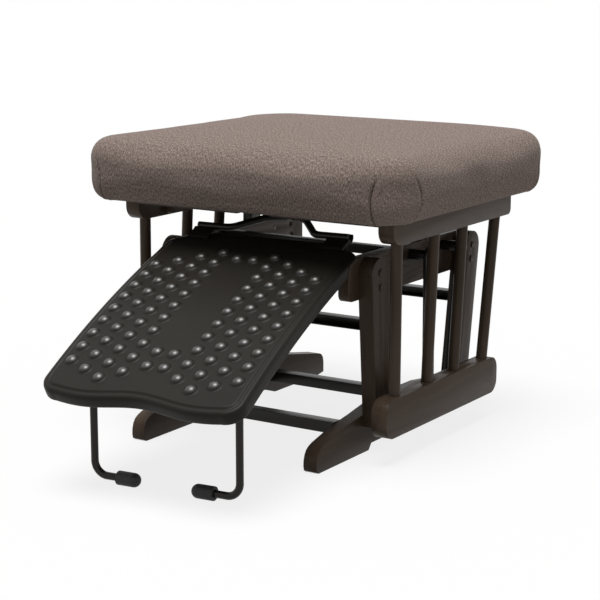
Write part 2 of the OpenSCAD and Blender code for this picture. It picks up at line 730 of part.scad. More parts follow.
hub_face = hub_dia / 2;
module hanger_hub() {
  stool_space() color("black") difference() {
    union() {
      translate([0, 0, hub_low]) cylinder(h = hub_high, r = hub_face);
      translate([-hub_face, -hub_face - wire_dia, hub_low]) cube([hub_dia, hub_face + wire_dia, hub_high]);
    }
    translate([0, 0, hub_low - tiny]) cylinder(h = hub_high + tiny * 2, r = hub_pin_dia / 2 + bore_room);
    for (s = [-1, 1]) straight([s * hub_wire_half, -neck_ahead, hub_mid],
      [s * hub_wire_half, -hub_face / 3, hub_mid],
      wire_r);
  }
}
module hanger_wire() {
  stool_space() color("black") union() {
    for (s = [-1, 1]) bent_wire([[s * rod_half, -rod_ahead, rod_high],
      [s * rod_bend_half, -rod_ahead, rod_high],
      [s * level_half, -level_ahead, hub_mid], [s * hub_wire_half, -neck_ahead, hub_mid],
      [s * hub_wire_half, -hub_face / 3, hub_mid]], wire_bend, wire_r);
  }
}

// panel: run 0 is the first dome row, positive runs go forward and down
R = panel_curve;
function slope_at(run) = first_slope + run / R * 180 / PI;
function ahead_at(run) = first_ahead + R * (sin(slope_at(run)) - sin(first_slope));
function high_at(run) = first_high - R * (cos(first_slope) - cos(slope_at(run)));
mid_run = row_pitch * 3;
leg_ahead = ahead_at(front_mid_run - leg_back);
leg_top = high_at(front_mid_run - leg_back) - leg_below;
module panel_space() {
  stool_space() translate([0, -ahead_at(mid_run), high_at(mid_run)]) rotate([slope_at(mid_run), 0, 0])
    children();
}
function ease(t) = t <= 0 ? 0 : t >= 1 ? 1 : t * t * (3 - 2 * t);
function front_run(x) = abs(x) < lobe_half ? front_mid_run + lobe_run * ease(abs(x) / lobe_half)
  : front_mid_run + lobe_run - lobe_drop * pow((abs(x) - lobe_half) / (field_half - lobe_half), 2);
function rear_run(x) = rear_side_run + rear_bulge * (1 - ease(abs(x) / lobe_half));
function field_outline(e) = let(xf = field_half - front_corner, xr = field_half - rear_corner, n = 26)
  concat([for (i = [0:n]) let(x = -xf + i * 2 * xf / n) [x, mid_run - front_run(x) - e]],
    [for (i = [1:6]) let(a = -90 + i * 15) [xf + (front_corner + e) * cos(a),
      mid_run - front_run(xf) + front_corner + (front_corner + e) * sin(a)]],
    [for (i = [0:5]) let(a = i * 15) [xr + (rear_corner + e) * cos(a),
      mid_run + rear_run(xr) - rear_corner + (rear_corner + e) * sin(a)]],
    [for (i = [0:n]) let(x = xr - i * 2 * xr / n) [x, mid_run + rear_run(x) + e]],
    [for (i = [1:6]) let(a = 90 + i * 15) [-xr + (rear_corner + e) * cos(a),
      mid_run + rear_run(xr) - rear_corner + (rear_corner + e) * sin(a)]],
    [for (i = [0:5]) let(a = 180 + i * 15) [-xf + (front_corner + e) * cos(a),
      mid_run - front_run(xf) + front_corner + (front_corner + e) * sin(a)]]);
// the space between two depths under the curved face
module shell(upper, lower) {
  wide = field_half + border_wide * 2;
  difference() {
    translate([-wide, 0, -R]) rotate([0, 90, 0]) cylinder(h = wide * 2, r = R - upper, $fn = 720);
    translate([-wide - tiny, 0, -R]) rotate([0, 90, 0])
      cylinder(h = wide * 2 + tiny * 2, r = R - lower, $fn = 720);
  }
}
module prism(e) {
  translate([0, 0, -skirt_deep * 3]) linear_extrude(skirt_deep * 5) polygon(field_outline(e));
}
module on_face(x, run) {
  translate([0, 0, -R]) rotate([(run - mid_run) / R * 180 / PI, 0, 0]) translate([x, 0, R]) children();
}
dome_r = (dome_dia * dome_dia / 4 + dome_high * dome_high) / (2 * dome_high);
module dome() {
  intersection() {
    translate([0, 0, dome_high - dome_r]) sphere(dome_r);
    translate([0, 0, -panel_wall / 2]) cylinder(h = dome_high * 2, r = dome_dia);
  }
}
// dome columns: [distance from the middle, first run, rows], each column a little later than the last
col_shift = row_pitch * 0.44;
col_step = field_half * 0.2;
dome_edge = field_half * 0.893;
dome_columns = [[dome_edge, 0, 9], [dome_edge - col_step, col_shift - row_pitch, 10],
  [dome_edge - col_step * 2, col_shift * 2 - row_pitch * 2, 11],
  [dome_edge - col_step * 3, col_shift * 3 - row_pitch * 3, 11],
  [dome_edge - col_step * 4, col_shift * 4 - row_pitch * 3, 1],
  [dome_edge - col_step * 4, col_shift * 4 + row_pitch * 5, 2]];
module ear(side) {
  sided(side) translate([ear_inner, -rod_ahead, rod_high]) {
    rotate([first_slope - 3, 0, 0]) translate([0, -ear_long, -ear_radius * 0.93])
      cube([ear_wide, ear_long, ear_radius * 0.9]);
    translate([ear_wide, 0, 0]) rotate([0, -90, 0]) cylinder(h = ear_wide, r = ear_radius);
  }
}
module before_heel(cut) {
  translate([-field_half * 2, mid_run + cut - foot_long, -foot_long / 2])
    cube([field_half * 4, foot_long, foot_long]);
}
module behind_heel(cut) {
  translate([-field_half * 2, mid_run + cut, -foot_long / 2]) cube([field_half * 4, foot_long, foot_long]);
}
module rim() { difference() { prism(border_wide); prism(-panel_wall); } }
module stool_panel() {
  color("dimgray") panel_space() {
    intersection() { prism(0); shell(0, panel_wall); before_heel(heel_start); }
    intersection() { rim(); shell(border_step, panel_wall + border_step); before_heel(heel_start); }
    for (side = [-1, 1]) for (c = dome_columns) for (k = [0:c[2] - 1])
      on_face(side * c[0], c[1] + k * row_pitch) dome();
  }
}
// the heel: the rear strip of the moulding, with the two ears on the hinge rod
module panel_heel() {
  half = ear_inner + ear_wide;
  color("dimgray") difference() {
    union() {
      panel_space() {
        intersection() { prism(0); shell(0, panel_wall); behind_heel(heel_start); }
        intersection() {
          union() {
            rim();
            translate([-half, mid_run + rear_side_run - panel_wall, -skirt_deep * 3])
              cube([half * 2, heel_run - rear_side_run + panel_wall, skirt_deep * 5]);
          }
          shell(border_step, panel_wall + border_step);
          behind_heel(heel_start);
        }
      }
      stool_space() for (side = [-1, 1]) ear(side);
    }
    stool_space() rod_x(-field_half * 2, field_half * 4, [-rod_ahead, rod_high], wire_r + bore_room);
  }
}
// the skirt round the sides and the front, under the rim
module panel_skirt() {
  color("dimgray") panel_space() intersection() {
    difference() { prism(border_wide); prism(border_wide - panel_wall); }
    shell(panel_wall + border_step, skirt_deep);
    before_heel(skirt_start);
  }
}
// ribs under the face, notched for the cross wire of the legs
module panel_ribs() {
  color("dimgray") difference() {
    panel_space() intersection() {
      prism(-panel_wall);
      shell(panel_wall, rib_high + panel_wall);
      before_heel(heel_start);
      union() {
        for (x = rib_shares) translate([x * field_half - rib_thick / 2, -foot_long, -foot_long / 2])
          cube([rib_thick, foot_long * 2, foot_long]);
        for (run = [-1.6, 1, 3.6, 6.2]) translate([-field_half * 2, mid_run - run * row_pitch,
          -foot_long / 2])
          cube([field_half * 4, rib_thick, foot_long]);
      }
    }
    stool_space() rod_x(-field_half * 2, field_half * 4, [-leg_ahead, leg_top], wire_r + running_gap);
  }
}
module leg_clips() {
  stool_space() color("dimgray") intersection() {
    for (x = [-clip_half, 0, clip_half]) difference() {
      translate([x - clip_wide / 2, -leg_ahead - wire_dia, leg_top - wire_dia])
        cube([clip_wide, wire_dia * 2, wire_dia * 4]);
      rod_x(x - clip_wide, clip_wide * 2, [-leg_ahead, leg_top], wire_r + bore_room);
    }
    translate([0, -ahead_at(mid_run), high_at(mid_run)]) rotate([slope_at(mid_run), 0, 0])
      translate([-field_half * 2, 0, -R]) rotate([0, 90, 0])
        cylinder(h = field_half * 4, r = R - panel_wall, $fn = 720);
  }
}

// legs: one wire, crossing under the panel, down both sides and in again at the floor
module leg_wire() {
  stool_space() color("black") bent_wire([
    [-tip_inner - tip_long / 4, -leg_ahead, tip_r], [-leg_half, -leg_ahead, tip_r],
      [-leg_half, -leg_ahead, leg_top],
    [leg_half, -leg_ahead, leg_top], [leg_half, -leg_ahead, tip_r],
      [tip_inner + tip_long / 4, -leg_ahead, tip_r]],
    leg_bend, wire_r);
}
module leg_tip(side) {
  stool_space() color("black") sided(side) difference() {
    union() {
      rod_x(tip_inner + tip_r, tip_long - tip_r, [-leg_ahead, tip_r], tip_r);
      translate([tip_inner + tip_r, -leg_ahead, tip_r]) sphere(tip_r);
    }
    rod_x(tip_inner + tip_long / 4, tip_long, [-leg_ahead, tip_r], wire_r);
  }
}
module left_leg_tip() leg_tip(-1);
module right_leg_tip() leg_tip(1);

left_foot();
right_foot();
left_board();
right_board();
left_front_post();
right_front_post();
left_rear_post();
right_rear_post();
front_floor_bar();
rear_floor_bar();
front_middle_bar();
rear_middle_bar();
tie_bar();
left_block();
right_block();
bridge();
stool_rail();
post_screws();
board_bolts();
board_spacers();
left_front_arm();
right_front_arm();
left_rear_arm();
right_rear_arm();
left_top_rail();
right_top_rail();
left_bottom_rail();
right_bottom_rail();
left_spindle_1();
left_spindle_2();
left_spindle_3();
left_spindle_4();
right_spindle_1();
right_spindle_2();
right_spindle_3();
right_spindle_4();
left_cleat();
right_cleat();
seat_deck();
cushion();
rail_bolts();
rail_spacers();
stool_carriage();
pin_nut();
hanger_hub();
hanger_wire();
stool_panel();
panel_heel();
panel_skirt();
panel_ribs();
leg_clips();
leg_wire();
left_leg_tip();
right_leg_tip();
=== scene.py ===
# %% Load the frame
import math
import numpy as np
import bpy
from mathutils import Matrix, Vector


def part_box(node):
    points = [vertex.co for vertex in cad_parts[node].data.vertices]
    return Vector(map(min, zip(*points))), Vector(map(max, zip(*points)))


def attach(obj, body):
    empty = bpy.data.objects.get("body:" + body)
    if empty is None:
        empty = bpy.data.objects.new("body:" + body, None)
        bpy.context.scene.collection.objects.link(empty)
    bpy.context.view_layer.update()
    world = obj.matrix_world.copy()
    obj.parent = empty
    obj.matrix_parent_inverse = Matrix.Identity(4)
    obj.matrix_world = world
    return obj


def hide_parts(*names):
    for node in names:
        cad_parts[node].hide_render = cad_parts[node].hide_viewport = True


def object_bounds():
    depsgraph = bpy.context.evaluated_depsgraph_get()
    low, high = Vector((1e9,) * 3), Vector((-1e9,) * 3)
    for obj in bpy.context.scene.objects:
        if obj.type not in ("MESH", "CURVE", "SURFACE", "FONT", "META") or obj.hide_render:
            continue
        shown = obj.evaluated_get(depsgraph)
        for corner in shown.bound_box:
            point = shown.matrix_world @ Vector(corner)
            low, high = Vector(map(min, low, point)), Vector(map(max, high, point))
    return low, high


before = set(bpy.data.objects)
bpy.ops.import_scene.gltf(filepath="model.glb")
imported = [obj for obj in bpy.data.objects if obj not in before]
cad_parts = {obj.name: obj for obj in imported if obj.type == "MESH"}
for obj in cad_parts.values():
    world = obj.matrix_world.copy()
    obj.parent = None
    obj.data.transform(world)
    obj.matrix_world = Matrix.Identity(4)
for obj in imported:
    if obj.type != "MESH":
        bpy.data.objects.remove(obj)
cad_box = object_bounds()
MM = 0.001
print("CAD box in mm:", [[round(c / MM) for c in corner] for corner in cad_box])

# %% [markdown]
# # A glider ottoman with its foot rest pulled out
#
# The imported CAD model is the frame: every wooden rail, bar, arm and wire is already in
# place, in metres, with the floor at zero, the stool side towards -Y and +X to the right.
# This lesson dresses that frame. Hard pieces keep their CAD mesh and get rounded edges and
# a finish. The cushion and the moulded foot panel are made anew, because cloth that is
# stuffed and plastic that is moulded have shapes that plain solids only hint at.

# %% [markdown]
# ## Camera
#
# The camera stands where the photographer stood: about 2.4 m away, a good third of a right
# angle round to the right and 12 degrees up. The numbers come from fitting straight wooden
# edges of the photograph. A long lens keeps the rails nearly parallel, and the small shift
# stands for a picture that was cropped off centre.

# %% Camera
SCENE = bpy.context.scene
SCENE.view_settings.view_transform = "Standard"
# the CAD source measures from a line 69.8 mm behind the middle of the frame's box
ROW_SHIFT = (cad_box[0][1] + cad_box[1][1]) / 2 + 69.8 * MM
TARGET = Vector((0, ROW_SHIFT, 158.7 * MM))
AZIMUTH, ELEVATION, DISTANCE = math.radians(32.74), math.radians(11.98), 2356.7 * MM
eye = TARGET + DISTANCE * Vector((math.sin(AZIMUTH) * math.cos(ELEVATION),
                                  -math.cos(AZIMUTH) * math.cos(ELEVATION), math.sin(ELEVATION)))
camera = bpy.data.objects.new("camera", bpy.data.cameras.new("camera"))
SCENE.collection.objects.link(camera)
SCENE.camera = camera
camera.location = eye
camera.rotation_euler = (TARGET - eye).to_track_quat("-Z", "Y").to_euler()
camera.data.lens, camera.data.sensor_width = 102.63, 36
camera.data.shift_x, camera.data.shift_y = 0.0024, 0.0217
print("camera at", [round(c, 3) for c in eye])

# %% [markdown]
# ## Node helpers
#
# Every finish below is a small graph: a pattern, mostly in Object coordinates, drives
# colour, roughness and bump. These helpers only shorten the writing: one adds a node with
# its values, others add noise, a ramp between colours or a bump, one starts a finish, and
# the last tells rays that light things from rays that look at them.

# %% Node helpers


def add_node(tree, kind, inputs=(), **settings):
    """A node of that kind with its settings; inputs are (socket, value or output socket)."""
    node = tree.nodes.new(kind)
    for key, value in settings.items():
        setattr(node, key, value)
    for name, value in inputs:
        if isinstance(value, bpy.types.NodeSocket):
            tree.links.new(value, node.inputs[name])
        else:
            node.inputs[name].default_value = value
    return node


def noise(tree, vector, scale, detail, roughness=0.5, distortion=0.0):
    """Cloudy noise between 0 and 1; a larger scale makes it finer."""
    node = add_node(tree, "ShaderNodeTexNoise", [("Vector", vector), ("Scale", scale), ("Detail", detail),
                                                 ("Roughness", roughness), ("Distortion", distortion)])
    return node.outputs["Fac"]


def drawn_out(tree, vector, scale):
    """The vector scaled per direction; a small scale draws the pattern out in that direction."""
    return add_node(tree, "ShaderNodeMapping", [("Vector", vector), ("Scale", scale)]).outputs[0]


def multiply(tree, first, second):
    """One colour times another."""
    node = add_node(tree, "ShaderNodeMix", [(0, 1.0), (6, first), (7, second)], data_type="RGBA",
                    blend_type="MULTIPLY")
    return node.outputs[2]


def ramp(tree, factor, stops):
    """Colours between stops of (place, grey or rgb)."""
    node = add_node(tree, "ShaderNodeValToRGB", [("Fac", factor)])
    elements = node.color_ramp.elements
    elements[0].position, elements[1].position = stops[0][0], stops[-1][0]
    while len(elements) < len(stops):
        elements.new(stops[len(elements) - 1][0])
    for element, (place, colour) in zip(sorted(elements, key=lambda e: e.position), stops):
        element.position = place
        element.color = (*colour, 1) if isinstance(colour, tuple) else (colour, colour, colour, 1)
    return node.outputs["Color"]


def drive(tree, shader, socket, factor, stops):
    """Links a ramp over the factor to one of the shader's sockets."""
    tree.links.new(ramp(tree, factor, stops), shader.inputs[socket])


def start_finish(name, **sockets):
    """A material with one Principled shader and plain socket values, and its Object coordinates."""
    paint = bpy.data.materials.new(name)
    paint.use_nodes = True
    tree = paint.node_tree
    shader = tree.nodes["Principled BSDF"]
    for key, value in sockets.items():
        shader.inputs[key.replace("_", " ")].default_value = value
    place = add_node(tree, "ShaderNodeTexCoord").outputs["Object"]
    return paint, tree, shader, place


def bump(tree, shader, height, depth, strength):
    """Small height differences, in metres, lit as if they were there."""
    node = add_node(tree, "ShaderNodeBump", [("Height", height), ("Distance", depth), ("Strength", strength)])
    tree.links.new(node.outputs["Normal"], shader.inputs["Normal"])


def by_ray(tree, lighting, seen):
    """One shader for the rays that light things, another for camera, mirror and glass rays."""
    path = add_node(tree, "ShaderNodeLightPath")
    total = path.outputs["Is Camera Ray"]
    for kind in ("Is Glossy Ray", "Is Transmission Ray"):
        total = add_node(tree, "ShaderNodeMath", [(0, total), (1, path.outputs[kind])],
                         operation="MAXIMUM").outputs[0]
    return add_node(tree, "ShaderNodeMixShader", [(0, total), (1, lighting), (2, seen)]).outputs[0]


print("helpers ready")

# %% [markdown]
# ## Floor, backdrop and light
#
# A shop photograph shows the object on pure white with hardly a shadow. White comes from
# what the camera sees, not from more light on the object: the world is plain grey for
# lighting and white for camera, mirror and glass rays. One wide soft light stands almost
# overhead: it makes the cushion's top two to three times as bright as its sides, as in the
# photograph, and sets a bright spot on every stud. It is a sun with a broad disc, because
# a sun lights the whole floor evenly. The floor shows white and keeps a faint shadow.

# %% Floor, backdrop and light
SKY_LEVEL, SUN_LEVEL = 0.24, 0.93
SUN_FROM, SUN_WIDTH = (0.01, -0.15, 1.0), math.radians(34)
FLOOR_HALF, FLOOR_SEEN, FLOOR_REAL = 30, 0.15, 0.36


def white_world():
    """The backdrop: grey light for the object, white for everything that looks at it."""
    world = bpy.data.worlds.new("studio")
    world.use_nodes = True
    tree = world.node_tree
    tree.nodes.clear()
    lighting = add_node(tree, "ShaderNodeBackground", [("Color", (1, 0.99, 0.97, 1)),
                                                       ("Strength", SKY_LEVEL)])
    seen = add_node(tree, "ShaderNodeBackground", [("Color", (1, 1, 1, 1)), ("Strength", 1.0)])
    add_node(tree, "ShaderNodeOutputWorld", [("Surface", by_ray(tree, lighting.outputs[0], seen.outputs[0]))])
    return world


def soft_sun(name):
    """A sun with a wide disc; a level of 1 shows white as white."""
    data = bpy.data.lights.new(name, "SUN")
    data.energy, data.angle = SUN_LEVEL * math.pi, SUN_WIDTH
    piece = bpy.data.objects.new(name, data)
    SCENE.collection.objects.link(piece)
    piece.rotation_euler = Vector(SUN_FROM).to_track_quat("Z", "Y").to_euler()


def floor_paint():
    """Plain grey for bounced light; for the camera a glow and a little grey, which keeps the shadow."""
    paint = bpy.data.materials.new("floor_white")
    paint.use_nodes = True
    tree = paint.node_tree
    tree.nodes.clear()
    real, faint = (add_node(tree, "ShaderNodeBsdfDiffuse", [("Color", (grey, grey, grey, 1))]).outputs[0]
                   for grey in (FLOOR_REAL, FLOOR_SEEN))
    glow = add_node(tree, "ShaderNodeEmission", [("Color", (1, 1, 1, 1)),
                                                 ("Strength", 1.0 - FLOOR_SEEN * (SKY_LEVEL + SUN_LEVEL))])
    both = add_node(tree, "ShaderNodeAddShader", [(0, faint), (1, glow.outputs[0])])
    add_node(tree, "ShaderNodeOutputMaterial", [("Surface", by_ray(tree, real, both.outputs[0]))])
    return paint


def floor_sheet(half):
    """A square at floor level."""
    mesh = bpy.data.meshes.new("floor")
    corners = [(-half, -half, 0), (half, -half, 0), (half, half, 0), (-half, half, 0)]
    mesh.from_pydata(corners, [], [(0, 1, 2, 3)])
    mesh.materials.append(floor_paint())
    piece = bpy.data.objects.new("floor", mesh)
    SCENE.collection.objects.link(piece)
    return piece


SCENE.world = white_world()
soft_sun("overhead_softbox")
floor_sheet(FLOOR_HALF)
print("world, one soft sun and a floor are set")

# %% [markdown]
# ## Stained wood
#
# The frame is a close-grained hardwood under an espresso stain and a satin lacquer. What
# shows is a very dark brown, faint lighter streaks along each piece and a soft shine. The
# streaks are noise stretched along the length of the piece, so one finish is made for
# each of the two directions in which pieces run.

# %% Stained wood


def stained_wood(name, stretch):
    """Espresso stain: noise drawn out along one axis, over a fine pore pattern."""
    paint, tree, shader, place = start_finish(name, Specular_IOR_Level=0.08, Coat_Weight=0.06,
                                              Coat_Roughness=0.14)
    spread = drawn_out(tree, place, stretch)
    streaks = noise(tree, spread, 34.0, 6.0, 0.6, 0.4)
    pores = noise(tree, spread, 420.0, 3.0, 0.7)
    drive(tree, shader, "Base Color", streaks,
          [(0.3, (0.058, 0.04, 0.0275)), (0.52, (0.078, 0.054, 0.038)), (0.74, (0.103, 0.073, 0.053))])
    drive(tree, shader, "Roughness", pores, [(0.3, 0.46), (0.7, 0.34)])
    bump(tree, shader, pores, 0.0002, 0.3)
    return paint


wood_y = stained_wood("stained_wood_along_y", (1.0, 0.09, 1.0))
wood_z = stained_wood("stained_wood_along_z", (1.0, 1.0, 0.09))
print("wood finishes:", wood_y.name, wood_z.name)

# %% [markdown]
# ## Coated and plated steel
#
# The cross bars, swing arms, wires and bolts are powder coated black: a fine orange-peel
# bump and a soft highlight. Only the slide block and the nut on its pin are zinc plated.

# %% Coated and plated steel


def coated_steel(name, base, rough):
    """Powder coat: near black, with the faint orange peel of sprayed powder."""
    paint, tree, shader, place = start_finish(name, Roughness=rough, Specular_IOR_Level=0.25)
    darker, lighter = (tuple(share * c for c in base) for share in (0.85, 1.2))
    drive(tree, shader, "Base Color", noise(tree, place, 14.0, 3.0), [(0.3, darker), (0.7, lighter)])
    bump(tree, shader, noise(tree, place, 900.0, 2.0), 0.00006, 0.5)
    return paint


def plated_steel(name):
    """Zinc plate: bright metal with cloudy, slightly brushed roughness."""
    paint, tree, shader, place = start_finish(name, Metallic=1.0)
    cloud = noise(tree, place, 120.0, 4.0)
    drive(tree, shader, "Base Color", cloud, [(0.3, (0.36, 0.35, 0.33)), (0.7, (0.56, 0.55, 0.52))])
    drive(tree, shader, "Roughness", cloud, [(0.3, 0.42), (0.7, 0.26)])
    bump(tree, shader, cloud, 0.00005, 0.4)
    return paint


black_steel = coated_steel("black_powder_coat", (0.017, 0.0145, 0.012), 0.34)
zinc = plated_steel("zinc_plate")
print("steel finishes:", black_steel.name, zinc.name)

# %% [markdown]
# ## Moulded plastic, rubber and plywood
#
# The foot panel is injection moulded in black with a fine spark-eroded grain. Bare feet
# polish the tops of its studs, which therefore catch the light more than the face does.
# The leg tips are softer and duller rubber. The seat deck is stained plywood and is only
# seen from below.

# %% Moulded plastic, rubber and plywood


def moulded_plastic(name):
    """Black polypropylene with a fine grain; the attribute "rubbed" rises to 1 at the top of each stud."""
    paint, tree, shader, place = start_finish(name)
    rubbed = add_node(tree, "ShaderNodeAttribute", attribute_name="rubbed").outputs["Fac"]
    drive(tree, shader, "Base Color", noise(tree, place, 9.0, 2.0),
          [(0.3, (0.0132, 0.0114, 0.009)), (0.7, (0.0165, 0.0142, 0.0112))])
    drive(tree, shader, "Specular IOR Level", rubbed, [(0.0, 0.13), (1.0, 0.95)])
    drive(tree, shader, "Roughness", rubbed, [(0.0, 0.42), (1.0, 0.36)])
    bump(tree, shader, noise(tree, place, 1500.0, 2.0), 0.00004, 0.4)
    return paint


def leg_rubber(name):
    """Dull black rubber with a light bloom."""
    paint, tree, shader, place = start_finish(name, Roughness=0.62, Specular_IOR_Level=0.4)
    cloud = noise(tree, place, 60.0, 4.0)
    drive(tree, shader, "Base Color", cloud, [(0.3, 0.011), (0.75, 0.022)])
    bump(tree, shader, cloud, 0.0002, 0.3)
    return paint


def stained_plywood(name):
    """Rotary-cut birch under the same stain: long soft figure along the sheet."""
    paint, tree, shader, place = start_finish(name, Roughness=0.7)
    figure = noise(tree, drawn_out(tree, place, (1.0, 0.12, 1.0)), 26.0, 7.0, distortion=1.2)
    drive(tree, shader, "Base Color", figure, [(0.3, (0.03, 0.022, 0.017)), (0.7, (0.05, 0.037, 0.028))])
    bump(tree, shader, figure, 0.0003, 0.3)
    return paint


plastic = moulded_plastic("moulded_black_plastic")
rubber = leg_rubber("leg_rubber")
plywood = stained_plywood("stained_plywood")
print("plastic, rubber and plywood ready")

# %% [markdown]
# ## Dress the hard pieces
#
# A CAD node comes in as loose triangles. Weld joins them in a modifier, Decimate melts the
# triangles of each flat face into one face, a small node group shades all smoothly, and
# Bevel rounds each crease a little, as a router or a press brake would, while it keeps the
# flat faces flat in the light. The wooden pieces get a rounder edge than the steel ones.

# %% Dress the hard pieces


def smooth_group():
    """A node group that lets light run smoothly over neighbouring faces."""
    group = bpy.data.node_groups.new("smooth_faces", "GeometryNodeTree")
    for way in ("INPUT", "OUTPUT"):
        group.interface.new_socket("Geometry", in_out=way, socket_type="NodeSocketGeometry")
    first, middle, last = (group.nodes.new(kind) for kind in
                           ("NodeGroupInput", "GeometryNodeSetShadeSmooth", "NodeGroupOutput"))
    group.links.new(first.outputs[0], middle.inputs["Geometry"])
    group.links.new(middle.outputs[0], last.inputs[0])
    return group


SMOOTH = smooth_group()
JOIN_WITHIN, FLAT_WITHIN, CREASE_FROM = 0.02 * MM, math.radians(1), math.radians(30)


def dress(node, paint, edge=0.0, segments=3):
    """Gives a CAD node its finish and, where edge is set, rounded creases of that width in mm."""
    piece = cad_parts[node]
    piece.data.materials.clear()
    piece.data.materials.append(paint)
    if edge:
        weld = piece.modifiers.new("weld", "WELD")
        weld.merge_threshold = JOIN_WITHIN
        melt = piece.modifiers.new("melt", "DECIMATE")
        melt.decimate_type, melt.angle_limit = "DISSOLVE", FLAT_WITHIN
        piece.modifiers.new("smooth", "NODES").node_group = SMOOTH
        round_off = piece.modifiers.new("round", "BEVEL")
        round_off.width, round_off.segments = edge * MM, segments
        round_off.limit_method, round_off.angle_limit = "ANGLE", CREASE_FROM
        round_off.harden_normals = True


ALONG_Y = ["left_foot", "right_foot", "left_board", "right_board", "left_top_rail", "right_top_rail",
           "left_bottom_rail", "right_bottom_rail", "left_cleat", "right_cleat"]
ALONG_Z = ["left_front_post", "right_front_post", "left_rear_post", "right_rear_post"]
SPINDLES = [f"{side}_spindle_{i}" for side in ("left", "right") for i in (1, 2, 3, 4)]
STEEL = ["front_floor_bar", "rear_floor_bar", "front_middle_bar", "rear_middle_bar", "tie_bar", "left_block",
         "right_block", "bridge", "stool_rail", "left_front_arm", "right_front_arm", "left_rear_arm",
         "right_rear_arm", "hanger_hub"]
for node in ALONG_Y:
    dress(node, wood_y, 2.0)
for node in ALONG_Z:
    dress(node, wood_z, 2.4)
for node in SPINDLES:
    dress(node, wood_z)
for node in STEEL:
    dress(node, black_steel, 0.6, 2)
for node in ("hanger_wire", "leg_wire"):
    dress(node, black_steel)
dress("post_screws", wood_z, 0.3, 2)
for node in ("board_bolts", "board_spacers", "rail_bolts", "rail_spacers"):
    dress(node, black_steel, 0.3, 2)
for node in ("pin_nut", "stool_carriage"):
    dress(node, zinc, 0.3, 2)
dress("seat_deck", plywood)
dress("leg_clips", plastic, 0.8, 2)
for node in ("left_leg_tip", "right_leg_tip"):
    dress(node, rubber, 1.2, 3)
print("dressed", len(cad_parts), "CAD nodes")

# %% [markdown]
# ## Surfaces from grids
#
# The new pieces are grids of points worked out with numpy. A grid has rows and columns,
# and each cell becomes one four-sided face. A grid may close round its columns, and its
# lines may crowd where a seam or an edge needs them.

# %% Surfaces from grids


def grid_faces(rows, cols, around=False, flip=False):
    """Corner numbers of the cells between neighbouring rows and columns."""
    r, c = np.meshgrid(np.arange(rows - 1), np.arange(cols if around else cols - 1), indexing="ij")
    d = (c + 1) % cols
    quads = np.stack([r * cols + c, r * cols + d, (r + 1) * cols + d, (r + 1) * cols + c], -1)
    quads = quads.reshape(-1, 4)
    return quads[:, ::-1] if flip else quads


def closed_faces(rows, cols, flip=False):
    """A grid closed round its columns, with one face over its first row and one over its last."""
    first, last = list(range(cols))[::-1], list(range((rows - 1) * cols, rows * cols))
    return list(grid_faces(rows, cols, around=True, flip=flip)) + (
        [first[::-1], last[::-1]] if flip else [first, last])


def make_piece(name, points, faces, paint, smooth=True):
    """A mesh object at the origin from an array of points in metres and a list of faces."""
    mesh = bpy.data.meshes.new(name)
    mesh.from_pydata(np.asarray(points, float).reshape(-1, 3).tolist(), [],
                     [list(map(int, face)) for face in faces])
    mesh.update()
    mesh.polygons.foreach_set("use_smooth", np.full(len(mesh.polygons), smooth))
    mesh.materials.append(paint)
    piece = bpy.data.objects.new(name, mesh)
    SCENE.collection.objects.link(piece)
    return piece


def crowded(total, places, reach, near, far):
    """Distances from 0 to total: near apart within reach of the places, far apart elsewhere."""
    fine = np.linspace(0, total, 8001)
    gap = np.abs(fine[:, None] - np.asarray(places)).min(1)
    share = np.where(gap < reach, 1 / near, 1 / far)
    count = np.concatenate([[0], np.cumsum((share[1:] + share[:-1]) / 2 * (fine[1] - fine[0]))])
    return np.interp(np.linspace(0, count[-1], int(count[-1]) + 1), count, fine)


print("grid helpers ready")

# %% [markdown]
# ## Tweed
#
# The cover is a heathered weave: short pale and dark yarn flecks, about a millimetre wide
# and a few millimetres long, that melt into a warm grey from a step away. The flecks run
# from front to rear over the top and down over the edges, so at the sides they lie level
# and at the corners aslant. The finish therefore reads a flat map of the cloth, laid out
# when the cushion is made, and not the place in the room.

# %% Tweed


def tweed_cloth(name):
    """Heather: noise drawn out along the cloth's second direction, painted shade along the dart seams, and
    thread bumps.
    """
    paint, tree, shader, _ = start_finish(name, Roughness=0.9, Specular_IOR_Level=0.12, Sheen_Weight=0.08,
                                          Sheen_Roughness=0.5)
    flat = add_node(tree, "ShaderNodeUVMap", uv_map="cloth").outputs["UV"]
    seam = add_node(tree, "ShaderNodeAttribute", attribute_name="seam").outputs["Fac"]
    yarn = drawn_out(tree, flat, (1.0, 0.32, 1.0))
    flecks = ramp(tree, noise(tree, yarn, 760.0, 3.0, 0.75),
                  [(0.36, (0.105, 0.079, 0.067)), (0.5, (0.232, 0.178, 0.154)), (0.64, (0.43, 0.345, 0.305))])
    clumps = ramp(tree, noise(tree, yarn, 150.0, 3.0, 0.6), [(0.32, 0.93), (0.68, 1.05)])
    # painted shade: the colour falls to about a third along each dart seam, where the sunk cloth would be in
    # shade
    painted_seam_shade = ramp(tree, seam, [(0.1, 1.0), (0.9, 0.36)])
    tree.links.new(multiply(tree, multiply(tree, flecks, clumps), painted_seam_shade), shader.inputs["Base Color"])
    bump(tree, shader, noise(tree, yarn, 1500.0, 2.0), 0.0004, 0.6)
    return paint


tweed = tweed_cloth("tweed_cloth")
print("tweed ready")

# %% [markdown]
# ## Cushion: outline and profile
#
# The cover is one cloth: a low crown, a wide soft shoulder and a wall that draws in at the
# bottom, where it is tacked to the deck. At each corner two curved darts take up the spare
# cloth. The form is an outline with round corners, carried up along a profile. The outline
# is a running sum of its own direction, and its columns crowd where the darts will be.

# %% Cushion: outline and profile
cushion_low, cushion_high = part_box("cushion")
MID_Y = (cushion_low.y + cushion_high.y) / 2
HALF_X, HALF_Y = (cushion_high.x - cushion_low.x) / 2, (cushion_high.y - cushion_low.y) / 2
FRONT_CORNER, REAR_CORNER = 51 * MM, 68 * MM
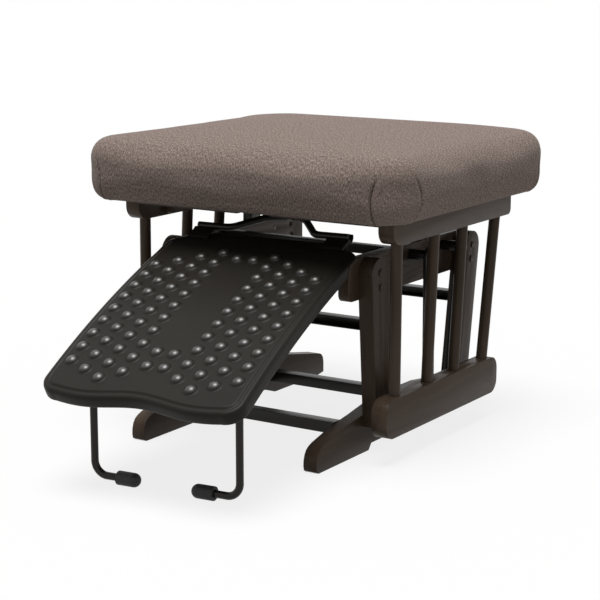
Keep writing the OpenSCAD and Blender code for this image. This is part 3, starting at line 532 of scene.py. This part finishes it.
# distances along the right half of the outline, from the middle of the front, where each stretch ends
STRETCHES = np.cumsum([HALF_X - FRONT_CORNER, FRONT_CORNER * math.pi / 2,
                       2 * HALF_Y - FRONT_CORNER - REAR_CORNER,
                       REAR_CORNER * math.pi / 2, HALF_X - REAR_CORNER])
# the four darts of the right half: distance along it, and how far their lower and upper ends lean
DARTS = [(STRETCHES[0] + 10.5 * MM, 2 * MM, 8.2 * MM), (STRETCHES[1] + 7.8 * MM, -9 * MM, -14 * MM),
         (STRETCHES[2] + 10 * MM, 9 * MM, 14 * MM), (STRETCHES[3] - 28 * MM, -2 * MM, -8.2 * MM)]


def half_outline(s):
    """Places and outward directions: the direction turns a quarter at each corner, a place sums the way."""
    fine = np.linspace(0, STRETCHES[-1], 6001)
    turn = -math.pi / 2 + np.clip((fine - STRETCHES[0]) / FRONT_CORNER, 0, math.pi / 2) + np.clip(
        (fine - STRETCHES[2]) / REAR_CORNER, 0, math.pi / 2)
    way = np.stack([-np.sin(turn), np.cos(turn)], -1)
    place = np.concatenate([[[0, 0]], np.cumsum((way[1:] + way[:-1]) / 2 * fine[1], 0)]) + [0, -HALF_Y]
    turn = np.interp(s, fine, turn)
    return (np.stack([np.interp(s, fine, place[:, 0]), np.interp(s, fine, place[:, 1])], -1),
            np.stack([np.cos(turn), np.sin(turn)], -1))


def whole(half, flip=1):
    """Adds the mirrored left half to values that run along the right half; flip=-1 turns the sign."""
    return np.concatenate([half, half[..., -2:0:-1] * flip], -1)


def wall_profile():
    """Heights and insets: a quarter ellipse at the foot, a straight wall, then most of a quarter circle."""
    foot_in, foot_high, wall, shoulder = 20 * MM, 33 * MM, 52 * MM, 32.5 * MM
    up = wall * np.linspace(0, 1, 26) ** 1.4
    draw = foot_in * (1 - np.sqrt(1 - np.clip(1 - up / foot_high, 0, 1) ** 2))
    turn = np.radians(np.linspace(0, 82, 18)[1:])
    return (cushion_low.z + np.concatenate([up, wall + shoulder * np.sin(turn)]),
            np.concatenate([draw, shoulder * (1 - np.cos(turn))]))


along = crowded(STRETCHES[-1], [where + high / 2 for where, _, high in DARTS],
                reach=13 * MM, near=0.9 * MM, far=5.5 * MM)
place, out = half_outline(along)
place = np.stack([whole(place[:, 0], -1), whole(place[:, 1])], -1)
out = np.stack([whole(out[:, 0], -1), whole(out[:, 1])], -1)
height, inset = wall_profile()
print("outline columns:", len(place), "wall rows:", len(height))

# %% [markdown]
# The crown shrinks the last wall row towards the middle while it rises as a parabola. The
# same rows also give the flat map of the cloth: on the crown it is the plan itself, and
# down the wall it goes on outwards by the distance along the profile.

# %% Cushion: rows
wall = np.concatenate([place[None] - out[None] * inset[:, None, None],
                       np.broadcast_to(height[:, None, None], (len(height), len(place), 1))], -1)
shrink = np.linspace(1, 0.02, 42)[1:, None, None]
CROWN_TOP = cushion_high.z - 3 * MM
rise = height[-1] + (CROWN_TOP - height[-1]) * (1 - shrink ** 2) * np.ones((1, len(place), 1))
crown = np.concatenate([wall[-1, None, :, :2] * shrink, rise], -1)
plain = np.concatenate([wall, crown]) + [0, MID_Y, 0]
steps = np.hypot(np.diff(height), np.diff(inset))
fall = np.concatenate([np.cumsum(steps[::-1])[::-1], np.zeros(1 + len(crown))])
flat = np.concatenate([np.broadcast_to(wall[-1, None, :, :2], wall[..., :2].shape), crown[..., :2]])
flat = flat + out[None] * fall[:, None, None]
rows, cols = plain.shape[:2]
cover_faces = closed_faces(rows, cols)
print("cushion rows:", rows, "x", cols)


def grid_normals(points):
    """Outward unit directions: the cross product of the way along a row and the way up a column."""
    across = np.roll(points, -1, 1) - np.roll(points, 1, 1)
    normals = np.cross(across, np.gradient(points, axis=0))
    return normals / np.maximum(np.linalg.norm(normals, axis=-1, keepdims=True), 1e-12)


def calm(field, passes):
    """Evens out values on the grid: each becomes a mean of itself and its four neighbours."""
    for _ in range(passes):
        up, down = np.concatenate([field[:1], field[:-1]]), np.concatenate([field[1:], field[-1:]])
        field = (2 * field + up + down + np.roll(field, 1, 1) + np.roll(field, -1, 1)) / 6
    return field


# %% [markdown]
# ## Stuffing the cushion
#
# A slightly smaller copy of the form is rebuilt with even faces, and Blender's Cloth blows
# it up from inside with gravity off. A cap keeps every point close to where it started.
# The fine grid of the cover then shrink-wraps onto the stuffed copy. Most of what a whole
# row moved is taken back, so that the cushion keeps its size, and what stays are the soft,
# slightly uneven curves along each row. The lowest row stays on the deck.

# %% Stuffing the cushion


def apply_modifiers(piece):
    """Bakes the modifiers into the mesh."""
    done = bpy.data.meshes.new_from_object(piece.evaluated_get(bpy.context.evaluated_depsgraph_get()))
    piece.modifiers.clear()
    piece.data = done


def mesh_points(mesh):
    """The mesh's points as an array."""
    co = np.empty(len(mesh.vertices) * 3, np.float32)
    mesh.vertices.foreach_get("co", co)
    return co.reshape(-1, 3).astype(float)


def inflate(piece, voxel, pressure, cap, frames):
    """Voxel remesh, then cloth under pressure; no point ends further than cap from its start."""
    remesh = piece.modifiers.new("even", "REMESH")
    remesh.mode, remesh.voxel_size, remesh.use_smooth_shade = "VOXEL", voxel, True
    apply_modifiers(piece)
    start = mesh_points(piece.data)
    cloth = piece.modifiers.new("stuff", "CLOTH")
    cloth.settings.use_pressure = True
    cloth.settings.uniform_pressure_force = pressure
    cloth.settings.effector_weights.gravity = 0
    cloth.settings.quality = 4
    cloth.settings.tension_stiffness = cloth.settings.compression_stiffness = 22
    cloth.settings.shear_stiffness, cloth.settings.bending_stiffness = 10, 2.5
    for number in range(1, frames + 1):
        SCENE.frame_set(number)
    apply_modifiers(piece)
    SCENE.frame_set(1)
    moved = mesh_points(piece.data) - start
    length = np.linalg.norm(moved, axis=1, keepdims=True)
    moved *= np.minimum(1, cap / np.maximum(length, 1e-9))
    piece.data.vertices.foreach_set("co", (start + moved).astype(np.float32).ravel())
    piece.data.update()
    return float(length.max())


def wrap_onto(points, target):
    """The grid's points after a Shrinkwrap onto another piece."""
    sheet = make_piece("sheet", points, cover_faces, tweed)
    wrap = sheet.modifiers.new("wrap", "SHRINKWRAP")
    wrap.target, wrap.wrap_method = target, "NEAREST_SURFACEPOINT"
    apply_modifiers(sheet)
    wrapped = mesh_points(sheet.data).reshape(points.shape)
    bpy.data.objects.remove(sheet)
    return wrapped


SMALLER, TAKEN_BACK, FREE_FROM = 4 * MM, 0.8, 12 * MM
cover = plain.copy()
stuffing = make_piece("stuffing", plain - SMALLER * grid_normals(plain), cover_faces, tweed)
swell = inflate(stuffing, voxel=5 * MM, pressure=4.0, cap=8 * MM, frames=16)
shift = calm(wrap_onto(plain, stuffing) - plain, passes=24)
outwards = (shift[..., :2] * out).sum(-1, keepdims=True)
shift[..., :2] -= TAKEN_BACK * outwards.mean(1, keepdims=True) * out
shift[..., 2] -= TAKEN_BACK * shift[..., 2].mean(1, keepdims=True)
cover = plain + shift * np.clip((plain[..., 2:] - cushion_low.z) / FREE_FROM, 0, 1)
bpy.data.objects.remove(stuffing)
print("cushion swelled by up to", round(swell / MM, 1), "mm before the cap")
reach = np.abs(cover[..., :2] - [0, MID_Y]).reshape(-1, 2).max(0)
cover[..., :2] = [0, MID_Y] + (cover[..., :2] - [0, MID_Y]) * [HALF_X, HALF_Y] / reach
cover[..., 2] = cushion_low.z + np.maximum(cover[..., 2] - cushion_low.z, 0) * (
    (CROWN_TOP - cushion_low.z) / (cover[..., 2].max() - cushion_low.z))
print("cushion half size in mm:", np.round(reach / MM, 1), "before it is fitted to the frame's box")

# %% [markdown]
# ## Darts
#
# A dart is a curved seam: the cloth sinks into it and puffs up a little on both sides. It
# starts at the shoulder and runs down to the foot of the wall. The sinking is a narrow
# bell curve of the distance from the seam, the puff a wider one on each side of it. A still
# narrower one darkens the cloth along the seam as painted shade.

# %% Darts
# in mm over the deck: where a dart leans neither way, how much higher it leans fully, where it
# ends, and over what height it fades in
DART_UPRIGHT, DART_LEAN, DART_END, DART_FADE = 30, 28, 61, 14


def dart_form(along, height):
    """How far the cloth moves outwards, and how near a seam is for the painted shade along it, at a place
    along the outline and a height.
    """
    up = (height - cushion_low.z) / MM
    lower = np.clip((DART_UPRIGHT - up) / DART_UPRIGHT, 0, 1) ** 2
    upper = np.clip((up - DART_UPRIGHT) / DART_LEAN, 0, 1.2) ** 2
    fade = np.clip((DART_END - up) / DART_FADE, 0, 1) ** 0.8
    gap = np.min([np.abs(along - (where + low * lower + high * upper)) for where, low, high in DARTS], 0) / MM
    puff, sink = 0.9 * np.exp(-((gap - 6.5) / 4.5) ** 2), 2.8 * np.exp(-(gap / 1.6) ** 2)
    return fade * MM * (puff - sink), fade * np.exp(-(gap / 0.9) ** 2)


def paint_points(piece, name, values):
    """Stores one value per point under a name that a finish can read."""
    layer = piece.data.attributes.new(name, "FLOAT", "POINT")
    layer.data.foreach_set("value", values.astype(np.float32).ravel())


dart, painted_seam_shade = (whole(part) for part in dart_form(along[None, :], height[:, None]))
cover[:len(height)] += grid_normals(cover)[:len(height)] * dart[..., None]
cover[..., 2] = np.maximum(cover[..., 2], cushion_low.z)
cushion = make_piece("cushion_cover", cover, cover_faces, tweed)
layer = cushion.data.uv_layers.new(name="cloth")
corner_point = np.empty(len(cushion.data.loops), np.int32)
cushion.data.loops.foreach_get("vertex_index", corner_point)
layer.data.foreach_set("uv", flat.reshape(-1, 2)[corner_point].astype(np.float32).ravel())
# the seam attribute holds how near a dart seam is; the tweed darkens there as painted shade
paint_points(cushion, "seam", np.concatenate([painted_seam_shade, np.zeros((rows - len(height), cols))]))
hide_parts("cushion")
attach(cushion, "seat")
print("cushion points:", rows * cols)

# %% [markdown]
# ## Foot panel
#
# The foot rest is one moulded shell: a gently arched face with rows of studs, a rounded
# step down to a border, two lobes at the front edge, and a skirt that turns down at the
# sides and the front. Its face is a function of two numbers, the distance from the middle
# and the run along the curve, so studs, step and rounded rim are heights that are added.

# %% Foot panel: where a point of the face is
TURN = math.radians(4.8)
PIVOT = np.array([0, 20 * MM + ROW_SHIFT, 0])
CURVE = 1432 * MM
FIRST_SLOPE = math.radians(20.2)
FIRST_AHEAD, FIRST_HIGH = 200 * MM, 246 * MM
ROW = 26.46 * MM
FIELD, BORDER = 131 * MM, 9 * MM
# in mm: where the front lobes are longest, their run, the hollow between them, and how the sides fall back
LOBE_AT, LOBE_RUN, HOLLOW, SIDE_BACK, SIDE_WIDE = 78, 259, 9, 7, 53
REAR_RUN, REAR_BULGE = 79, 11


def stool_point(across, ahead, high):
    """From distances in the turned foot rest to the row frame."""
    across, ahead, high = np.broadcast_arrays(across, ahead, high)
    x = across * math.cos(TURN) + ahead * math.sin(TURN)
    y = across * math.sin(TURN) - ahead * math.cos(TURN)
    return np.stack([x, y, high], -1) + PIVOT


def face_point(across, run, lift):
    """A point over the arched face: run turns into slope, and lift goes the way the face looks."""
    slope = FIRST_SLOPE + run / CURVE
    ahead = FIRST_AHEAD + CURVE * (np.sin(slope) - math.sin(FIRST_SLOPE)) + lift * np.sin(slope)
    high = FIRST_HIGH - CURVE * (math.cos(FIRST_SLOPE) - np.cos(slope)) + lift * np.cos(slope)
    return stool_point(across, ahead, high)


def ease(t):
    """Goes smoothly from 0 to 1."""
    t = np.clip(t, 0, 1)
    return t * t * (3 - 2 * t)


def front_run(x):
    """The front edge of the face: two lobes and a hollow between them."""
    x = np.abs(x) / MM
    between = HOLLOW * (1 - ease(x / LOBE_AT))
    beside = SIDE_BACK * np.clip((x - LOBE_AT) / SIDE_WIDE, 0, 2) ** 2
    return MM * (LOBE_RUN - np.where(x < LOBE_AT, between, beside))


def rear_run(x):
    """The rear edge of the face, which bulges to the rear in the middle."""
    return -MM * (REAR_RUN + REAR_BULGE * (1 - ease(np.abs(x) / MM / LOBE_AT)))


print("first stud row at", np.round(face_point(0.0, 0.0, 0.0) / MM, 1))

# %% [markdown]
# The studs sit in columns, each column a little later than the one outside it, which
# makes the slanting rows that the photograph shows. A stud is a dome: its height falls
# from the middle as a part of a ball would.

# %% Foot panel: studs
COLUMN_SHIFT = 0.44 * ROW
COLUMNS = [(117.0, 0.0, 9), (90.8, COLUMN_SHIFT - ROW, 10), (64.6, 2 * COLUMN_SHIFT - 2 * ROW, 11),
           (38.4, 3 * COLUMN_SHIFT - 3 * ROW, 11), (12.2, 4 * COLUMN_SHIFT - 3 * ROW, 1),
           (12.2, 4 * COLUMN_SHIFT + 5 * ROW, 2)]
STUDS = np.array([(side * x * MM, first + k * ROW)
                  for side in (-1, 1) for x, first, count in COLUMNS for k in range(count)])
STUD_RADIUS, STUD_HIGH = 8.8 * MM, 5.0 * MM
# the ball behind a dome: its radius squared, how much of it stays under the face, and the rest
BALL, BALL_UNDER, BALL_OVER = 1.35, 0.592, 0.57


def stud_height(across, run):
    """The tallest dome over each point, by the root of the ball's radius squared less distance squared."""
    height = np.zeros_like(across)
    for x, r in STUDS:
        d = np.hypot(across - x, run - r) / STUD_RADIUS
        dome = (np.sqrt(np.clip(BALL - d ** 2, 0, 2)) - BALL_UNDER) / BALL_OVER
        height = np.maximum(height, STUD_HIGH * dome)
    return height


print("studs:", len(STUDS))

# %% [markdown]
# The grid is square in its two numbers. In each corner it is bent into a quarter disc,
# so that the rim runs round the corner without a crease. The distance to the rim then
# decides the step and the round-off, and the skirt hangs from the last grid line.

# %% Foot panel: the shell
FULL_HALF, CORNER, LONG = FIELD + BORDER, 24 * MM, 350 * MM
RIM_WIDE, SQUEEZE = 7 * MM, 16 * MM
STEP_DEEP, STEP_FROM, STEP_WIDE = 1.8 * MM, 11 * MM, 4 * MM
STUDS_FROM, STUDS_WIDE = 10.5 * MM, 2.5 * MM
ROLL_DEEP, ROLL_DEEPER, ROLL_WIDE = 2.6 * MM, 1.6 * MM, 5.0 * MM
SKIRT_FROM, SKIRT_WIDE = -50 * MM, 12 * MM


def rim_lines(total):
    """Grid lines over a length, crowded near both ends, where the rim is."""
    return crowded(total, [RIM_WIDE, total - RIM_WIDE], reach=RIM_WIDE, near=0.8 * MM, far=1.75 * MM)


def rounded_grid():
    """Grid over the face, its corners pressed from squares into quarter discs, and the way to the rim."""
    u, v = np.broadcast_arrays(rim_lines(2 * FULL_HALF)[None, :] - FULL_HALF, rim_lines(LONG)[:, None] / LONG)
    squeeze = np.clip(u, -FIELD + SQUEEZE, FIELD - SQUEEZE)
    rear, front = rear_run(squeeze) - BORDER, front_run(squeeze) + BORDER
    run = rear + (front - rear) * v
    a = np.clip(np.abs(u) - (FULL_HALF - CORNER), 0, None)
    b_front, b_rear = np.clip(run - (front - CORNER), 0, None), np.clip((rear + CORNER) - run, 0, None)
    b = np.maximum(b_front, b_rear)
    corner = (a > 0) & (b > 0)
    scale = np.where(corner, np.maximum(a, b) / np.maximum(np.hypot(a, b), 1e-9), 1.0)
    x = np.where(corner, np.sign(u) * ((FULL_HALF - CORNER) + a * scale), u)
    y = np.where(corner & (b_front > 0), front - CORNER + b * scale, run)
    y = np.where(corner & (b_rear > 0), rear + CORNER - b * scale, y)
    rim = np.minimum(FULL_HALF - np.abs(u), np.minimum(front - run, run - rear))
    rim = np.where(corner, CORNER - np.maximum(a, b), rim)
    return x, y, np.clip(rim, 0, None)


def skirt_share(run):
    """Nought at the rear, where there is no skirt, and one where it is full."""
    return ease((run - SKIRT_FROM) / SKIRT_WIDE)


def face_lift(x, run, rim):
    """Studs on the field, a rounded step down to the border, and a border that rolls down at the rim."""
    step = STEP_DEEP * ease((STEP_FROM - rim) / STEP_WIDE)
    fallen = 1 - np.sqrt(np.clip(1 - (1 - np.clip(rim / ROLL_WIDE, 0, 1)) ** 2, 0, 1))
    roll = (ROLL_DEEP + ROLL_DEEPER * skirt_share(run)) * fallen
    inside = ease((rim - STUDS_FROM) / STUDS_WIDE)
    return stud_height(x, run) * inside - step - roll


across, run, rim = rounded_grid()
NR, NX = across.shape
top = face_point(across, run, face_lift(across, run, rim))
edge = np.concatenate([np.stack([np.zeros(NX - 1, int), np.arange(NX - 1)], -1),
                       np.stack([np.arange(NR - 1), np.full(NR - 1, NX - 1)], -1),
                       np.stack([np.full(NX - 1, NR - 1), np.arange(NX - 1, 0, -1)], -1),
                       np.stack([np.arange(NR - 1, 0, -1), np.zeros(NR - 1, int)], -1)])
ex, er = across[edge[:, 0], edge[:, 1]], run[edge[:, 0], edge[:, 1]]
around = np.stack([np.roll(er, -1) - np.roll(er, 1), -(np.roll(ex, -1) - np.roll(ex, 1))], -1)
around /= np.linalg.norm(around, axis=1, keepdims=True) * np.sign(np.mean(around[:, 0] * ex))
REAR_DROP = 4.9 * MM
# outwards and down, in mm: the skirt's outer wall, its rounded lower edge and its inner wall
SKIRT = [(0.2, 6.5), (0.4, 10), (0.6, 14), (0.6, 17.6), (0.3, 18.6), (-0.9, 19), (-2.1, 18.6), (-2.6, 17.4),
         (-3.0, 13), (-3.4, 8), (-4.6, 6.4)]
print("panel grid:", NX, "x", NR, "rim points:", len(edge))


def rim_ring(outward, drop):
    """The rim moved outwards and down; the drop is short at the rear, so that the panel clears the base."""
    down = REAR_DROP + (drop - REAR_DROP) * skirt_share(er)
    return face_point(ex + around[:, 0] * outward, er + around[:, 1] * outward, -down)


skirt = [rim_ring(outward * MM, drop * MM) for outward, drop in SKIRT]
# the underside is the face's own grid, lower down and drawn in a little towards its middle
UNDER_ACROSS, UNDER_ALONG, UNDER_MIDDLE, UNDER_DROP = 0.962, 0.968, 85 * MM, 5.6 * MM
under = face_point(across * UNDER_ACROSS, (run - UNDER_MIDDLE) * UNDER_ALONG + UNDER_MIDDLE, -UNDER_DROP)
n_top, n_edge = NX * NR, len(edge)
points = np.concatenate([top.reshape(-1, 3)] + skirt + [under.reshape(-1, 3)])
faces = [grid_faces(NR, NX, flip=True)]
edge_ids = edge[:, 0] * NX + edge[:, 1]
chain = [edge_ids] + [n_top + k * n_edge + np.arange(n_edge) for k in range(len(skirt))]
under_first = n_top + len(skirt) * n_edge
chain.append(under_first + edge_ids)
for a, b in zip(chain[:-1], chain[1:]):
    faces.append(np.stack([a, np.roll(a, -1), np.roll(b, -1), b], -1))
faces.append(under_first + grid_faces(NR, NX))
panel = make_piece("foot_panel", points, np.concatenate(faces), plastic)
RUBBED_FROM, RUBBED_OVER = 2.0 * MM, 2.4 * MM
rubbed = ease((stud_height(across, run) - RUBBED_FROM) / RUBBED_OVER)
paint_points(panel, "rubbed", np.concatenate([rubbed.ravel(), np.zeros(len(points) - n_top)]))
print("panel faces:", len(panel.data.polygons))

# %% [markdown]
# ## Heel, ears and ribs
#
# Behind the field the moulding runs on as a plain strip, the heel, level with the border.
# Two ears stand on it: open saddles that the hinge rod snaps into from above. Under the
# shell, thin ribs stiffen it.

# %% Heel
HEEL_HALF, HEEL_FRONT, HEEL_REAR, HEEL_CORNER = 116 * MM, -80 * MM, -104 * MM, 9 * MM
# share of the way to the rear, and lift in mm: along the top, round the rear, along the bottom
HEEL_RING = [(0.0, -2.15), (0.3, -2.15), (0.7, -2.15), (0.86, -2.15), (0.93, -2.5), (0.975, -3.2),
             (1.0, -4.2), (0.99, -5.0), (0.9, -5.3), (0.0, -5.3)]
# the sides are rounded by this radius, down to this lift
HEEL_SIDE, HEEL_SIDE_LOW = 2.5 * MM, -4.2 * MM


def quarter(t, radius):
    """How far a quarter circle has fallen at a distance t along its radius."""
    return radius - np.sqrt(np.clip(radius ** 2 - np.clip(t, 0, radius) ** 2, 0, None))


def heel_strip():
    """A plate under the rod: a closed ring of points across the plate, with round corners at the rear."""
    x = crowded(2 * HEEL_HALF, [5 * MM, 2 * HEEL_HALF - 5 * MM],
                reach=6 * MM, near=0.7 * MM, far=4 * MM) - HEEL_HALF
    rear = HEEL_REAR + quarter(np.abs(x) - HEEL_HALF + HEEL_CORNER, HEEL_CORNER)
    side_drop = quarter(np.abs(x) - HEEL_HALF + HEEL_SIDE, HEEL_SIDE)
    rows = [face_point(x, HEEL_FRONT + (rear - HEEL_FRONT) * share,
                       np.maximum(lift * MM - side_drop, min(lift * MM, HEEL_SIDE_LOW)))
            for share, lift in HEEL_RING]
    faces = closed_faces(len(x), len(rows), flip=True)
    return make_piece("heel_strip", np.array(rows).transpose(1, 0, 2), faces, plastic)


heel = heel_strip()
print("heel made")

# %% Ears
ROD_AHEAD, ROD_HIGH = 97 * MM, 284.3 * MM
EAR_INNER, EAR_OUTER = 4.9, 8.0
# the foot of an ear from the rod's middle, ahead and up in mm
EAR_FOOT = [(9, -8.6), (26, -14.6), (27, -12.6), (24.5, -9.8), (12, -4.6), (8.6, -2.6), (7.4, -1.4),
            (6.2, -0.9)]
# across the ear: distance from its middle, and how far its outline is drawn in there, in mm
EAR_STEPS = [(-16, 0.9), (-15.7, 0.35), (-15, 0), (15, 0), (15.7, 0.35), (16, 0.9)]


def arc(radius, start, end, count):
    """Points on a circle round the rod between two directions in degrees."""
    turn = np.radians(np.linspace(start, end, count))
    return np.stack([radius * np.cos(turn), radius * np.sin(turn)], -1)


def ear(name, middle):
    """A saddle: two arcs round the rod, open upwards, on a sloping foot; swept across with rounded cheeks."""
    side = np.concatenate([arc(EAR_OUTER, 158, 290, 16), EAR_FOOT, arc(EAR_INNER, 348, 158, 22)]) * MM
    way = side - side.mean(0)
    way /= np.linalg.norm(way, axis=1, keepdims=True)
    rows = []
    for step, drawn_in in EAR_STEPS:
        ahead, up = (side - way * drawn_in * MM).T
        rows.append(stool_point(middle + step * MM, ROD_AHEAD + ahead, ROD_HIGH + up))
    return make_piece(name, rows, closed_faces(len(rows), len(side), flip=True), plastic,
                      smooth=False)


ears = [ear("left_ear", -100 * MM), ear("right_ear", 100 * MM)]
print("ears made")

# %% Ribs
RIB_HALF, RIB_TOP, RIB_LOW, RIB_STEPS = 1.2 * MM, -5.4 * MM, -12 * MM, 24


def rib(name, across_ends, run_ends):
    """A thin wall under the shell along a line of the face."""
    x, r = np.linspace(*across_ends, RIB_STEPS), np.linspace(*run_ends, RIB_STEPS)
    lengthwise = across_ends[0] == across_ends[1]
    dx, dr = (RIB_HALF, 0) if lengthwise else (0, RIB_HALF)
    rows = [face_point(x + side * dx, r + side * dr, lift)
            for side, lift in ((-1, RIB_TOP), (-1, RIB_LOW), (1, RIB_LOW), (1, RIB_TOP))]
    faces = closed_faces(RIB_STEPS, len(rows), flip=not lengthwise)
    return make_piece(name, np.array(rows).transpose(1, 0, 2), faces, plastic, smooth=False)


RIB_SIDES, RIB_ENDS = (-132 * MM, 132 * MM), (-85 * MM, 250 * MM)
ribs = [rib(f"rib_long_{i}", (x * MM, x * MM), RIB_ENDS) for i, x in enumerate((-81, -29, 29, 81))]
ribs += [rib(f"rib_cross_{i}", RIB_SIDES, (r * ROW, r * ROW)) for i, r in enumerate((-1.6, 1, 3.6, 6.2))]
print("ribs:", len(ribs))

# %% [markdown]
# ## Put the panel in the frame
#
# All pieces of the foot rest's shell ride on the panel's body and stand for its CAD nodes.

# %% Put the panel in the frame
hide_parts("stool_panel", "panel_heel", "panel_skirt", "panel_ribs")
for piece in [panel, heel] + ears + ribs:
    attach(piece, "panel")
print("panel pieces ride on the panel body")
